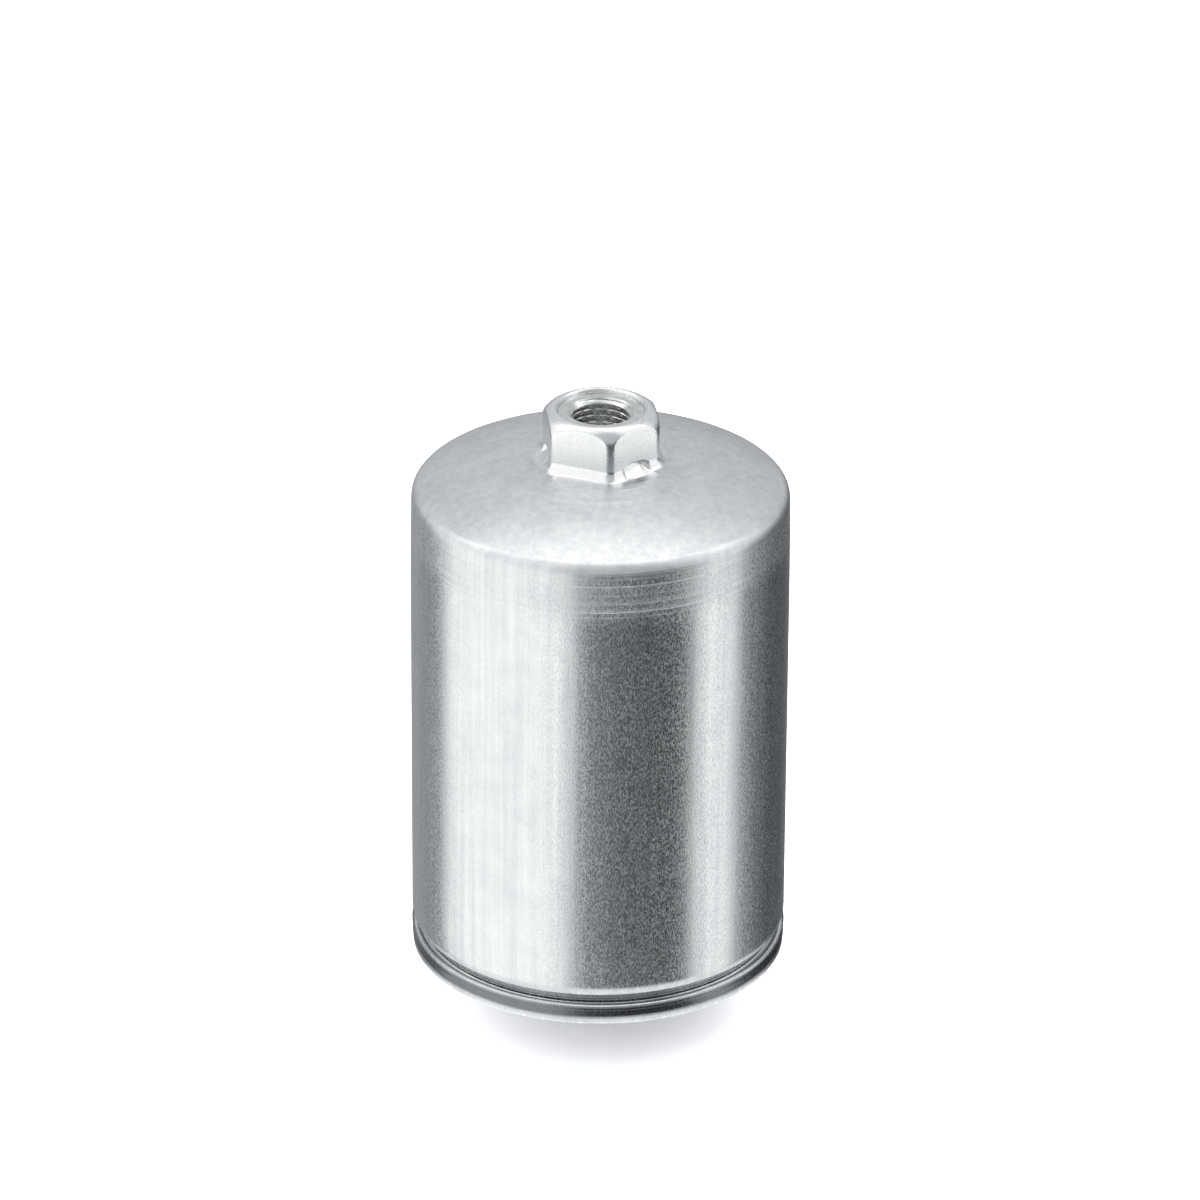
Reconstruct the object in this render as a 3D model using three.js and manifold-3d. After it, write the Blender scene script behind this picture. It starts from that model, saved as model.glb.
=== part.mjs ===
// Inline fuel filter: a deep-drawn steel can with a domed top, closed by a pressed cover whose rim
// is curled over the can's flange. Each end is drawn out into a hexagonal boss that holds a threaded
// bush. Inside, a pleated paper element is pushed up against the outlet bush by a coil spring.
// Millimetres, +Z up, origin on the axis at the lip of the lower boss. Fuel flows upwards.
import * as THREE from "three";
import { mergeVertices } from "three/addons/utils/BufferGeometryUtils.js";
import Module from "manifold-3d";

const wasm = await Module();
wasm.setup();
const degrees = THREE.MathUtils.degToRad;

// ---- Driving dimensions -------------------------------------------------------------------------
const OVERALL_LENGTH = 147; // lip of the lower boss to lip of the upper boss
const CAN_DIAMETER = 83; // over the straight wall
const CAN_SHEET = 0.9; // thickness of the can's steel
const COVER_SHEET = 1; // thickness of the cover's steel
const GAP = 0.3; // left between pieces that press on each other
const ROUND_SEGMENTS = 32; // facets round the axis

// Hexagonal bosses, the same at both ends.
const HEX_ACROSS_FLATS = 24;
const HEX_CORNER_RADIUS = 2.4;
const BOSS_HEIGHT = 11.5; // dome to lip
const BOSS_FOOT_FILLET = 1.6; // where the flats run out into the dome
const LIP_WIDTH = 2.3; // from the flats in to the hole round the bush
const LIP_FLAT_WIDTH = 0.5; // flat left round that hole
const LIP_ROUNDING = 4.2; // radius of the drawn edge between the lip and the flats
const LIP_SLOPE = degrees(12); // where that edge begins
const UPPER_HEX_TURN = degrees(0); // about Z, from a corner on -Y
const LOWER_HEX_TURN = degrees(-17); // the cover is seamed on at no particular angle

// Dents pressed into the flats under the bush's hexagon, which hold it up against the lip.
const DENTED_FLATS = [0, 1, 3, 4]; // counted anticlockwise from the flat next to the corner on -Y
const DENT_WIDTH = 6.4;
const DENT_DEPTH = 0.9;
const DENT_HEIGHT = 2;

// Domes and the can's wall.
const DOME_FOOT_MARGIN = 0.64; // from the hexagon's corners out to where the dome begins
const DOME_SLOPE_AT_BOSS = degrees(6);
const CAN_SLOPE_AT_EDGE = degrees(25);
const COVER_SLOPE_AT_EDGE = degrees(20);
const SHOULDER_RADIUS = 3.1; // between the dome and the wall
const SHOULDER_INSET = 0.2; // the wall is this much narrower at the shoulder
const SHOULDER_TAPER_LENGTH = 22;

// Seam: the can is necked in and flanged out, and the cover's rim is curled over the flange.
const SEAM_HEIGHT = 5.5;
const SEAM_PROUD = 0.25; // the seam's radius beyond the can's wall
const SEAM_CORNER_RADIUS = 1.5;
const NECK_HEIGHT = 4.3; // top of the seam to the foot of the straight wall
const NECK_RADIUS = 2.6; // where the wall turns in
const NECK_INSET = 2.7; // the neck's outside, in from the wall
const CURL_CLEARANCE = 0.7; // from the neck to the edge of the curl
const GASKET_WIDTH = 2.4;
const COVER_RIM_WIDTH = 4.9; // the cover's flat rim, from the seam's outside to the dome's edge

// Threaded bushes, M14 x 1.5, right-handed.
const THREAD_MAJOR_DIAMETER = 14;
const THREAD_PITCH = 1.5;
const THREAD_DEPTH = 0.81; // radial height of the cut
const THREAD_LENGTH = 12;
const BUSH_RECESS = 1; // the bush's end face below the lip
const BUSH_CLEARANCE = 0.15; // spigot to lip hole, and hexagon to the inside of the flats
const BUSH_HEX_HEIGHT = 5.2;
const SEAL_CLEARANCE = 0.2; // O-ring to the inside of the flats
const SEAL_DROP = 0.9; // inside of the lip to the top of the O-ring
const SHANK_CLEARANCE = 1.1; // shank below the hexagon to the inside of the dents
const OUTLET_SHANK_LENGTH = 12.5; // hexagon to the shoulder that the element's grommet meets
const INLET_SHANK_LENGTH = 6;
const PASSAGE_RADIUS = 4.6; // plain bore inside the thread
const NOSE_WALL = 3.4; // outlet nose, outside the passage
const NOSE_LENGTH = 12;

// Strainer, held in the end of the outlet nose.
const STRAINER_WALL = 1.5; // left of the nose round the strainer's seat
const STRAINER_LIP = 1; // how far its ring covers the gauze
const STRAINER_RING_HEIGHT = 1.4;
const GAUZE_THICKNESS = 0.5;
const GAUZE_HOLE = 1.1; // side of a square hole
const GAUZE_PITCH = 1.7;

// Filter element.
const ELEMENT_LENGTH = 90; // over the two end caps
const ELEMENT_CLEARANCE = 4.6; // end caps' rims to the inside of the can, where the fuel flows
const CAP_SHEET = 0.6;
const CAP_RIM_HEIGHT = 5;
const ADHESIVE_THICKNESS = 2.4;
const PLEATS = 40;
const PAPER_THICKNESS = 0.5;
const PLEAT_TIP_WIDTH = 1.8;
const PAPER_CLEARANCE = 0.9; // pleat tips to the caps' rims
const CORE_DIAMETER = 32;
const CORE_SHEET = 0.6;
const CORE_CLEARANCE = 0.5; // core tube to the pleats' roots
const CORE_HOLE_DIAMETER = 5;
const CORE_HOLE_ROWS = 5;
const CORE_HOLES_PER_ROW = 8;
const GROMMET_HEIGHT = 4;
const GROMMET_WALL = 3;
const GROMMET_CLEARANCE = 0.1; // grommet to the nose that it slides on
const CLIP_SHEET = 0.4;
const CLIP_DEPTH = 6; // how far the clip grips down its pleat
const CLIP_CLEARANCE = 1; // clip's ends to the caps' rims

// Star, spring and support plate, between the element and the cover.
const STAR_SHEET = 0.6;
const STAR_HUB_WIDTH = 5; // either side of the spring's middle
const STAR_ARMS = 6;
const STAR_ARM_WIDTH = 8;
const STAR_CLEARANCE = 0.6; // arm tips to the can's wall
const SPRING_WIRE = 2;
const SPRING_COIL_RADIUS = 17; // to the middle of the wire
const SPRING_TURNS = 3.5;
const PLATE_SHEET = 0.8;
const PLATE_HOLES = 8;
const PLATE_HOLE_RADIUS = 4;

// ---- Sizes worked out from those ----------------------------------------------------------------
const hexReach = HEX_ACROSS_FLATS / Math.sqrt(3); // to the hexagon's sharp corners
const domeFootRadius = hexReach + DOME_FOOT_MARGIN;
const lipHoleRadius = HEX_ACROSS_FLATS / 2 - LIP_WIDTH;
const wallRadius = CAN_DIAMETER / 2;
const shoulderRadius = wallRadius - SHOULDER_INSET;
const canDomeEdge = shoulderRadius - SHOULDER_RADIUS * (1 - Math.sin(CAN_SLOPE_AT_EDGE));
const seamRadius = wallRadius + SEAM_PROUD;
const coverDomeEdge = seamRadius - COVER_RIM_WIDTH;
const neckRadius = wallRadius - NECK_INSET;
const flangeRadius = seamRadius - COVER_SHEET - GAP;
const curlEdge = neckRadius + CURL_CLEARANCE;

// Each end is made pointing up, with its lip at z = 0, so its heights are negative.
const shoulderHeight = domeArc(canDomeEdge, CAN_SLOPE_AT_EDGE, 0).at(-1)[1]
  - SHOULDER_RADIUS * Math.cos(CAN_SLOPE_AT_EDGE);
const coverRimHeight = domeArc(coverDomeEdge, COVER_SLOPE_AT_EDGE, 0).at(-1)[1];

// Heights in the whole filter.
const seamBottom = -coverRimHeight;
const seamTop = seamBottom + SEAM_HEIGHT;
const wallFoot = seamTop + NECK_HEIGHT;
const flangeTop = seamTop - COVER_SHEET - GAP;
const gasketBottom = seamBottom + COVER_SHEET + GAP;
const gasketTop = flangeTop - CAN_SHEET - GAP;
const plateBottom = gasketBottom;
const springFoot = plateBottom + PLATE_SHEET + GAP;

// Bushes.
const threadRadius = THREAD_MAJOR_DIAMETER / 2;
const boreRadius = threadRadius - THREAD_DEPTH;
const insideOfDents = HEX_ACROSS_FLATS / 2 - Math.max(CAN_SHEET, COVER_SHEET) - DENT_DEPTH;
const shankRadius = insideOfDents - SHANK_CLEARANCE;
const spigotRadius = lipHoleRadius - BUSH_CLEARANCE;
const noseRadius = PASSAGE_RADIUS + NOSE_WALL;
const bushFace = -BUSH_RECESS;
const outletShoulder = bushHexFoot(CAN_SHEET) - OUTLET_SHANK_LENGTH;
const noseFoot = outletShoulder - NOSE_LENGTH;
const strainerSeatRadius = noseRadius - STRAINER_WALL;
const strainerRadius = strainerSeatRadius - GAP;
const strainerFoot = noseFoot + GAP;
const gauzeFoot = strainerFoot + STRAINER_RING_HEIGHT + GAP;
const strainerSeatTop = gauzeFoot + GAUZE_THICKNESS + GAP;

// Element, with z = 0 at the underside of its lower cap.
const elementRadius = wallRadius - CAN_SHEET - ELEMENT_CLEARANCE;
const rimInside = elementRadius - CAP_SHEET;
const adhesiveFoot = CAP_SHEET + GAP;
const paperFoot = adhesiveFoot + ADHESIVE_THICKNESS + GAP;
const paperTop = ELEMENT_LENGTH - paperFoot;
const paperRadius = rimInside - PAPER_CLEARANCE;
const coreRadius = CORE_DIAMETER / 2;
const grommetBore = noseRadius + GROMMET_CLEARANCE;
const capHoleRadius = grommetBore + GROMMET_WALL / 2;
const grommetMiddle = ELEMENT_LENGTH - CAP_SHEET / 2;
const elementFoot = OVERALL_LENGTH + outletShoulder - GAP - GROMMET_HEIGHT / 2 - grommetMiddle;
const starTop = elementFoot - GAP;
const springTop = starTop - STAR_SHEET - GAP;

// ---- Materials ----------------------------------------------------------------------------------
const metal = (color, roughness) => new THREE.MeshStandardMaterial({ color, roughness, metalness: 1 });
const soft = (color, roughness) => new THREE.MeshStandardMaterial({ color, roughness, metalness: 0 });
const canSteel = metal(0xb9bcbe, 0.38);
const coverSteel = metal(0xa6a8aa, 0.42);
const bushSteel = metal(0xc2c3c2, 0.3);
const cageSteel = metal(0xb4b7b5, 0.45);
const springSteel = metal(0x6c6e70, 0.35);
const gauzeBrass = metal(0xc0a368, 0.4);
const sealRubber = soft(0x1c1c1e, 0.7);
const filterPaper = soft(0xd9c48c, 0.95);
const adhesive = soft(0x8f4a2e, 0.6);

// ---- Making and joining solids ------------------------------------------------------------------
// A closed geometry as a manifold-3d solid.
function solid(geometry) {
  const bare = geometry.index ? geometry.toNonIndexed() : geometry.clone();
  bare.deleteAttribute("normal");
  bare.deleteAttribute("uv");
  const merged = mergeVertices(bare, 1e-4);
  const corners = merged.index.array;
  const kept = [];
  for (let i = 0; i < corners.length; i += 3) {
    const [a, b, c] = corners.subarray(i, i + 3);
    if (a !== b && b !== c && c !== a) kept.push(a, b, c); // leaves out the flat ones at a pole
  }
  const mesh = new wasm.Mesh({
    numProp: 3,
    vertProperties: merged.attributes.position.array,
    triVerts: new Uint32Array(kept),
  });
  return new wasm.Manifold(mesh);
}

// A solid back as a named three.js mesh.
function piece(name, made, material) {
  const { vertProperties, triVerts } = made.getMesh();
  const geometry = new THREE.BufferGeometry();
  geometry.setAttribute("position", new THREE.BufferAttribute(vertProperties, 3));
  geometry.setIndex(new THREE.BufferAttribute(triVerts, 1));
  geometry.computeVertexNormals();
  const mesh = new THREE.Mesh(geometry, material);
  mesh.name = name;
  return mesh;
}

// A profile of [radius, height] pairs turned about Z. It starts and ends on the axis, or is closed.
function turned(profile, segments = ROUND_SEGMENTS) {
  const points = profile.map(([radius, height]) => new THREE.Vector2(radius, height));
  if (points[0].x > 0) points.push(points[0].clone());
  if (THREE.ShapeUtils.area(points) < 0) points.reverse();
  return solid(new THREE.LatheGeometry(points, segments).rotateX(Math.PI / 2));
}

const ring = (inner, outer, bottom, top) =>
  turned([[inner, bottom], [outer, bottom], [outer, top], [inner, top]]);

const disc = (radius, bottom, top, segments = ROUND_SEGMENTS) =>
  turned([[0, bottom], [radius, bottom], [radius, top], [0, top]], segments);

function extruded(shape, bottom, top, steps = 1) {
  const settings = { depth: top - bottom, steps, bevelEnabled: false, curveSegments: 2 };
  return new THREE.ExtrudeGeometry(shape, settings).translate(0, 0, bottom);
}

const outline = (pairs) => new THREE.Shape(pairs.map(([x, y]) => new THREE.Vector2(x, y)));

// Points of an arc round a centre, as [radius, height] pairs. A slope of 0 is the arc's top, where
// the surface is level, and one of 90 degrees is its outermost point.
function arc([centreRadius, centreHeight], radius, from, to, steps = 3) {
  return Array.from({ length: steps + 1 }, (_, i) => {
    const slope = from + ((to - from) * i) / steps;
    return [centreRadius + radius * Math.sin(slope), centreHeight + radius * Math.cos(slope)];
  });
}

// A dome from the foot of its boss out to its edge, set in from the outside by `inset`.
function domeArc(edgeRadius, slopeAtEdge, inset) {
  const span = Math.sin(slopeAtEdge) - Math.sin(DOME_SLOPE_AT_BOSS);
  const radius = (edgeRadius - domeFootRadius) / span;
  const centre = [
    domeFootRadius - radius * Math.sin(DOME_SLOPE_AT_BOSS),
    -BOSS_HEIGHT - radius * Math.cos(DOME_SLOPE_AT_BOSS),
  ];
  return arc(centre, radius - inset, DOME_SLOPE_AT_BOSS, slopeAtEdge, 3);
}

// ---- Hexagonal boss, pointing up with its lip at z = 0 -------------------------------------------
// The hexagon with its round corners, one of them on -Y, all set in by `inset`.
function hexagon(inset) {
  const shape = new THREE.Shape();
  const toCornerCentre = (HEX_ACROSS_FLATS / 2 - HEX_CORNER_RADIUS) / Math.cos(degrees(30));
  for (let i = 0; i < 6; i++) {
    const angle = degrees(60 * i - 90);
    const x = toCornerCentre * Math.cos(angle);
    const y = toCornerCentre * Math.sin(angle);
    shape.absarc(x, y, HEX_CORNER_RADIUS - inset, angle - degrees(30), angle + degrees(30), false);
  }
  return shape;
}

// The boss's own shape down to `bottom`: the hexagon with the drawn edge round its top.
function bossCore(inset, bottom) {
  const edgeCentre = [
    lipHoleRadius + LIP_FLAT_WIDTH - LIP_ROUNDING * Math.sin(LIP_SLOPE),
    -LIP_ROUNDING * Math.cos(LIP_SLOPE),
  ];
  const edge = arc(edgeCentre, LIP_ROUNDING - inset, LIP_SLOPE, degrees(80), 4);
  const drawnEdge = turned([
    [0, -inset],
    ...edge,
    [hexReach, -LIP_ROUNDING],
    [hexReach, bottom - 1],
    [0, bottom - 1],
  ]);
  return solid(extruded(hexagon(inset), bottom, -inset)).intersect(drawnEdge);
}

// The fillet between the flats and the dome: the hexagon, flared out towards its foot.
function bossFoot() {
  const sunk = 0.3; // into the dome, which falls away under the corners
  const flare = extruded(hexagon(0), -BOSS_HEIGHT - sunk, -BOSS_HEIGHT + BOSS_FOOT_FILLET, 3);
  const at = flare.attributes.position;
  for (let i = 0; i < at.count; i++) {
    const [x, y, z] = [at.getX(i), at.getY(i), at.getZ(i)];
    const toTop = Math.min(BOSS_FOOT_FILLET, BOSS_FOOT_FILLET - BOSS_HEIGHT - z);
    const out = BOSS_FOOT_FILLET - Math.sqrt(BOSS_FOOT_FILLET ** 2 - toTop ** 2);
    const share = 1 + out / Math.hypot(x, y);
    at.setXY(i, x * share, y * share);
  }
  return solid(flare);
}

// Wedges on the dented flats: deepest at the top, running out towards the foot.
function wedges(top, bottom, depth, width) {
  const face = HEX_ACROSS_FLATS / 2;
  const runOut = DENT_DEPTH * 0.7;
  const section = outline([
    [face + 1, bottom],
    [face + 1, top],
    [face - depth, top],
    [face - depth + runOut, bottom],
  ]);
  const wedge = extruded(section, -width / 2, width / 2).rotateX(Math.PI / 2);
  return DENTED_FLATS
    .map((flat) => solid(wedge.clone().rotateZ(degrees(60 * flat - 60))))
    .reduce((all, next) => all.add(next));
}

// What a boss adds outside its dome, and what is hollow inside it.
function boss(sheet) {
  const bulgeTop = bushHexFoot(sheet) - GAP;
  const dentTop = bulgeTop - sheet * 0.7;
  const hollowFoot = -BOSS_HEIGHT - sheet - 0.5;
  const hole = disc(lipHoleRadius, -sheet - 1, 1);
  const dents = wedges(dentTop, dentTop - DENT_HEIGHT, DENT_DEPTH, DENT_WIDTH);
  const bulges = wedges(bulgeTop, hollowFoot - 1, DENT_DEPTH + sheet, DENT_WIDTH + 2 * sheet);
  return {
    outside: bossCore(0, -BOSS_HEIGHT - 0.3).add(bossFoot()).subtract(dents),
    hollow: bossCore(sheet, hollowFoot).subtract(bulges).add(hole),
  };
}

// ---- Housing, each half in the frame of its own boss ---------------------------------------------
// The can from its dome to the flange, set in from the outside by `inset`.
function canProfile(inset) {
  const footHeight = wallFoot - OVERALL_LENGTH;
  const shoulderCentre = [shoulderRadius - SHOULDER_RADIUS, shoulderHeight];
  const shoulder = arc(shoulderCentre, SHOULDER_RADIUS - inset, CAN_SLOPE_AT_EDGE, degrees(90));
  const neckCentre = [wallRadius - NECK_RADIUS, footHeight];
  return [
    ...domeArc(canDomeEdge, CAN_SLOPE_AT_EDGE, inset),
    ...shoulder.slice(1),
    [wallRadius - inset, shoulderHeight - SHOULDER_TAPER_LENGTH],
    ...arc(neckCentre, NECK_RADIUS - inset, degrees(90), degrees(150)),
    [neckRadius - inset, footHeight - NECK_RADIUS],
  ];
}

function housingCan() {
  const { outside, hollow } = boss(CAN_SHEET);
  const flange = flangeTop - OVERALL_LENGTH;
  const foot = flange - CAN_SHEET;
  const outer = canProfile(0);
  const inner = canProfile(CAN_SHEET);
  const full = turned([
    [0, outer[0][1]],
    ...outer,
    [neckRadius, flange],
    [flangeRadius, flange],
    [flangeRadius, foot],
    [0, foot],
  ]);
  const space = turned([
    [0, inner[0][1]],
    ...inner,
    [neckRadius - CAN_SHEET, foot - 1],
    [0, foot - 1],
  ]);
  return full.add(outside).subtract(space.add(hollow));
}

// The cover from its dome to the curl: a flat rim, up the seam's side and in over the can's flange.
function coverProfile(inset) {
  const centre = seamRadius - SEAM_CORNER_RADIUS;
  const radius = SEAM_CORNER_RADIUS - inset;
  const curl = coverRimHeight - SEAM_HEIGHT;
  return [
    ...domeArc(coverDomeEdge, COVER_SLOPE_AT_EDGE, inset),
    ...arc([centre, coverRimHeight - SEAM_CORNER_RADIUS], radius, 0, degrees(90)),
    ...arc([centre, curl + SEAM_CORNER_RADIUS], radius, degrees(90), degrees(180)),
    [curlEdge, curl + inset],
  ];
}

function endCover() {
  const { outside, hollow } = boss(COVER_SHEET);
  const outer = coverProfile(0);
  const inner = coverProfile(COVER_SHEET);
  const open = coverRimHeight - SEAM_HEIGHT;
  const full = turned([[0, outer[0][1]], ...outer, [0, open]]);
  const space = turned([[0, inner[0][1]], ...inner, [curlEdge, open - 1], [0, open - 1]]);
  return full.add(outside).subtract(space.add(hollow));
}

// ---- Bushes, seals and strainer, in the frame of a boss -------------------------------------------
// Top and foot of the bush's hexagon, under the lip and the O-ring.
function bushHexTop(sheet) {
  return -sheet - SEAL_DROP - sealSection(sheet) - GAP;
}

function bushHexFoot(sheet) {
  return bushHexTop(sheet) - BUSH_HEX_HEIGHT;
}

function sealSection(sheet) {
  return LIP_WIDTH - sheet - SEAL_CLEARANCE;
}

function bushSeal(sheet) {
  const radius = sealSection(sheet) / 2;
  const torus = new THREE.TorusGeometry(lipHoleRadius + radius, radius, 6, ROUND_SEGMENTS);
  return solid(torus.translate(0, 0, bushHexTop(sheet) + GAP + radius));
}

// The thread's groove: a V-shaped bar bent round the axis, which climbs one pitch a turn.
function threadGroove() {
  const turns = THREAD_LENGTH / THREAD_PITCH + 1;
  const start = degrees(5); // between two corners of the bore's facets
  const inner = boreRadius - 0.4; // inside the bore, where there is no metal
  const crest = THREAD_PITCH / 16;
  const mouth = THREAD_PITCH * 0.48;
  const section = outline([[inner, -mouth], [threadRadius, -crest], [threadRadius, crest], [inner, mouth]]);
  const bar = extruded(section, 0, turns * 2 * Math.PI, Math.round(turns * 12));
  const at = bar.attributes.position;
  for (let i = 0; i < at.count; i++) {
    const [radius, offset, along] = [at.getX(i), at.getY(i), at.getZ(i)];
    const height = offset - (along / (2 * Math.PI)) * THREAD_PITCH;
    const angle = start - along;
    at.setXYZ(i, radius * Math.cos(angle), radius * Math.sin(angle), height);
  }
  return solid(bar.translate(0, 0, bushFace + THREAD_PITCH));
}

function bush(sheet, shankLength, nose) {
  const hexFoot = bushHexFoot(sheet);
  const shankFoot = hexFoot - shankLength;
  const foot = nose.length ? nose[0][1] : shankFoot;
  const threadFoot = bushFace - THREAD_LENGTH;
  const mouth = threadRadius + 0.25;
  const hexagonal = bossCore(sheet + BUSH_CLEARANCE, hexFoot)
    .intersect(disc(HEX_ACROSS_FLATS, hexFoot - 1, bushHexTop(sheet), 8));
  const round = turned([
    [0, foot],
    ...nose,
    [shankRadius, shankFoot],
    [shankRadius, hexFoot + 1],
    [spigotRadius, hexFoot + 1],
    [spigotRadius, bushFace],
    [0, bushFace],
  ]);
  const bore = turned([
    [0, foot - 1],
    [PASSAGE_RADIUS, foot - 1],
    [PASSAGE_RADIUS, threadFoot - 1],
    [boreRadius, threadFoot],
    [boreRadius, bushFace - (mouth - boreRadius)],
    [mouth, bushFace],
    [mouth, bushFace + 1],
    [0, bushFace + 1],
  ], 24);
  return hexagonal.add(round).subtract(bore).subtract(threadGroove());
}

function outletBush() {
  const nose = [[noseRadius, noseFoot], [noseRadius, outletShoulder]];
  const strainerSeat = disc(strainerSeatRadius, noseFoot - 1, strainerSeatTop);
  return bush(CAN_SHEET, OUTLET_SHANK_LENGTH, nose).subtract(strainerSeat);
}

function strainerGauze() {
  const reach = strainerRadius - STRAINER_LIP - GAUZE_HOLE / Math.SQRT2;
  const count = Math.floor(reach / GAUZE_PITCH);
  let gauze = disc(strainerRadius, gauzeFoot, gauzeFoot + GAUZE_THICKNESS, 24);
  for (let column = -count; column <= count; column++) {
    for (let row = -count; row <= count; row++) {
      const [x, y] = [column * GAUZE_PITCH, row * GAUZE_PITCH];
      if (Math.hypot(x, y) > reach) continue;
      const hole = new THREE.BoxGeometry(GAUZE_HOLE, GAUZE_HOLE, 3 * GAUZE_THICKNESS);
      gauze = gauze.subtract(solid(hole.translate(x, y, gauzeFoot)));
    }
  }
  return gauze;
}

function strainerRing() {
  return ring(strainerRadius - STRAINER_LIP, strainerRadius, strainerFoot, gauzeFoot - GAP);
}

// ---- Filter element, with z = 0 at the underside of its lower cap --------------------------------
// A dished cap with its rim upwards. The lower one has no hole, which leaves the fuel only one way.
function endCap(holeRadius) {
  return turned([
    [holeRadius, 0],
    [elementRadius, 0],
    [elementRadius, CAP_RIM_HEIGHT],
    [rimInside, CAP_RIM_HEIGHT],
    [rimInside, CAP_SHEET],
    [holeRadius, CAP_SHEET],
  ]);
}

// The adhesive that the paper's and the core tube's ends stand in.
function adhesiveRing(bottom) {
  return ring(coreRadius - 2, rimInside - GAP, bottom, bottom + ADHESIVE_THICKNESS);
}

// One side of the folded paper, as the corners of every pleat's tip and root.
function pleatLine(tipRadius, tipHalf, rootRadius, rootHalf) {
  const step = (2 * Math.PI) / PLEATS;
  const points = [];
  for (let i = 0; i < PLEATS; i++) {
    const corners = [
      [tipRadius, -tipHalf, 0],
      [tipRadius, tipHalf, 0],
      [rootRadius, -rootHalf, step / 2],
      [rootRadius, rootHalf, step / 2],
    ];
    for (const [radius, along, turn] of corners) {
      const angle = i * step + turn;
      const x = radius * Math.cos(angle) - along * Math.sin(angle);
      const y = radius * Math.sin(angle) + along * Math.cos(angle);
      points.push([x, y]);
    }
  }
  return outline(points);
}

function filterPaperWall() {
  const root = coreRadius + CORE_CLEARANCE + PAPER_THICKNESS;
  const tipHalf = PLEAT_TIP_WIDTH / 2;
  const rootHalf = root * Math.tan(Math.PI / PLEATS) - tipHalf;
  const wall = pleatLine(paperRadius, tipHalf, root, rootHalf);
  const [thinTip, thinRoot] = [paperRadius - PAPER_THICKNESS, root - PAPER_THICKNESS];
  wall.holes.push(pleatLine(thinTip, tipHalf - PAPER_THICKNESS, thinRoot, rootHalf + PAPER_THICKNESS));
  return solid(extruded(wall, paperFoot, paperTop));
}

// A strip folded over the pleat on +X, where the paper's two ends meet.
function pleatClip() {
  const bottom = CAP_RIM_HEIGHT + CLIP_CLEARANCE;
  const insideHalf = PLEAT_TIP_WIDTH / 2 + 1.5 * GAP;
  const outsideHalf = insideHalf + CLIP_SHEET;
  const insideTip = paperRadius + GAP;
  const outsideTip = insideTip + CLIP_SHEET;
  const edge = paperRadius - CLIP_DEPTH;
  const section = outline([
    [edge, -outsideHalf],
    [outsideTip, -outsideHalf],
    [outsideTip, outsideHalf],
    [edge, outsideHalf],
    [edge, insideHalf],
    [insideTip, insideHalf],
    [insideTip, -insideHalf],
    [edge, -insideHalf],
  ]);
  return solid(extruded(section, bottom, ELEMENT_LENGTH - bottom));
}

function coreTube() {
  let tube = ring(coreRadius - CORE_SHEET, coreRadius, paperFoot, paperTop);
  const rowPitch = (paperTop - paperFoot) / CORE_HOLE_ROWS;
  const radius = CORE_HOLE_DIAMETER / 2;
  for (let row = 0; row < CORE_HOLE_ROWS; row++) {
    for (let i = 0; i < CORE_HOLES_PER_ROW; i++) {
      const drill = new THREE.CylinderGeometry(radius, radius, 8 * CORE_SHEET, 6);
      drill.rotateZ(Math.PI / 2).translate(coreRadius, 0, paperFoot + (row + 0.5) * rowPitch);
      drill.rotateZ((2 * Math.PI * (i + (row % 2) / 2)) / CORE_HOLES_PER_ROW);
      tube = tube.subtract(solid(drill));
    }
  }
  return tube;
}

// A rubber ring with a groove round it for the edge of the upper cap's hole.
function outletGrommet() {
  const outer = grommetBore + GROMMET_WALL;
  const half = GROMMET_HEIGHT / 2;
  const groove = CAP_SHEET / 2 + GAP;
  return turned([
    [grommetBore, grommetMiddle - half],
    [outer, grommetMiddle - half],
    [outer, grommetMiddle - groove],
    [capHoleRadius - GAP, grommetMiddle - groove],
    [capHoleRadius - GAP, grommetMiddle + groove],
    [outer, grommetMiddle + groove],
    [outer, grommetMiddle + half],
    [grommetBore, grommetMiddle + half],
  ]);
}

// ---- Star, spring, support plate and gasket, in the whole filter's frame --------------------------
// A flat star under the element, whose arms keep it in the middle of the can.
function springStar() {
  const bottom = starTop - STAR_SHEET;
  const tip = wallRadius - CAN_SHEET - STAR_CLEARANCE;
  const start = SPRING_COIL_RADIUS;
  const length = Math.sqrt(tip ** 2 - (STAR_ARM_WIDTH / 2) ** 2) - start;
  let star = ring(SPRING_COIL_RADIUS - STAR_HUB_WIDTH, SPRING_COIL_RADIUS + STAR_HUB_WIDTH, bottom, starTop);
  for (let i = 0; i < STAR_ARMS; i++) {
    const arm = new THREE.BoxGeometry(length, STAR_ARM_WIDTH, STAR_SHEET);
    arm.translate(start + length / 2, 0, bottom + STAR_SHEET / 2);
    star = star.add(solid(arm.rotateZ((2 * Math.PI * i) / STAR_ARMS)));
  }
  return star;
}

// The middle of the spring's wire. Its end coils lie flatter than the others.
class SpringCurve extends THREE.Curve {
  getPoint(t, target = new THREE.Vector3()) {
    const angle = t * SPRING_TURNS * 2 * Math.PI;
    const climb = t - (0.25 * Math.sin(2 * Math.PI * t)) / (2 * Math.PI);
    const height = springFoot + SPRING_WIRE / 2 + (springTop - springFoot - SPRING_WIRE) * climb;
    return target.set(SPRING_COIL_RADIUS * Math.cos(angle), SPRING_COIL_RADIUS * Math.sin(angle), height);
  }
}

function elementSpring() {
  const wire = new THREE.Shape();
  wire.absarc(0, 0, SPRING_WIRE / 2, 0, 2 * Math.PI);
  const steps = Math.round(SPRING_TURNS * 16);
  const settings = { steps, curveSegments: 3, extrudePath: new SpringCurve() };
  return solid(new THREE.ExtrudeGeometry(wire, settings));
}

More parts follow.
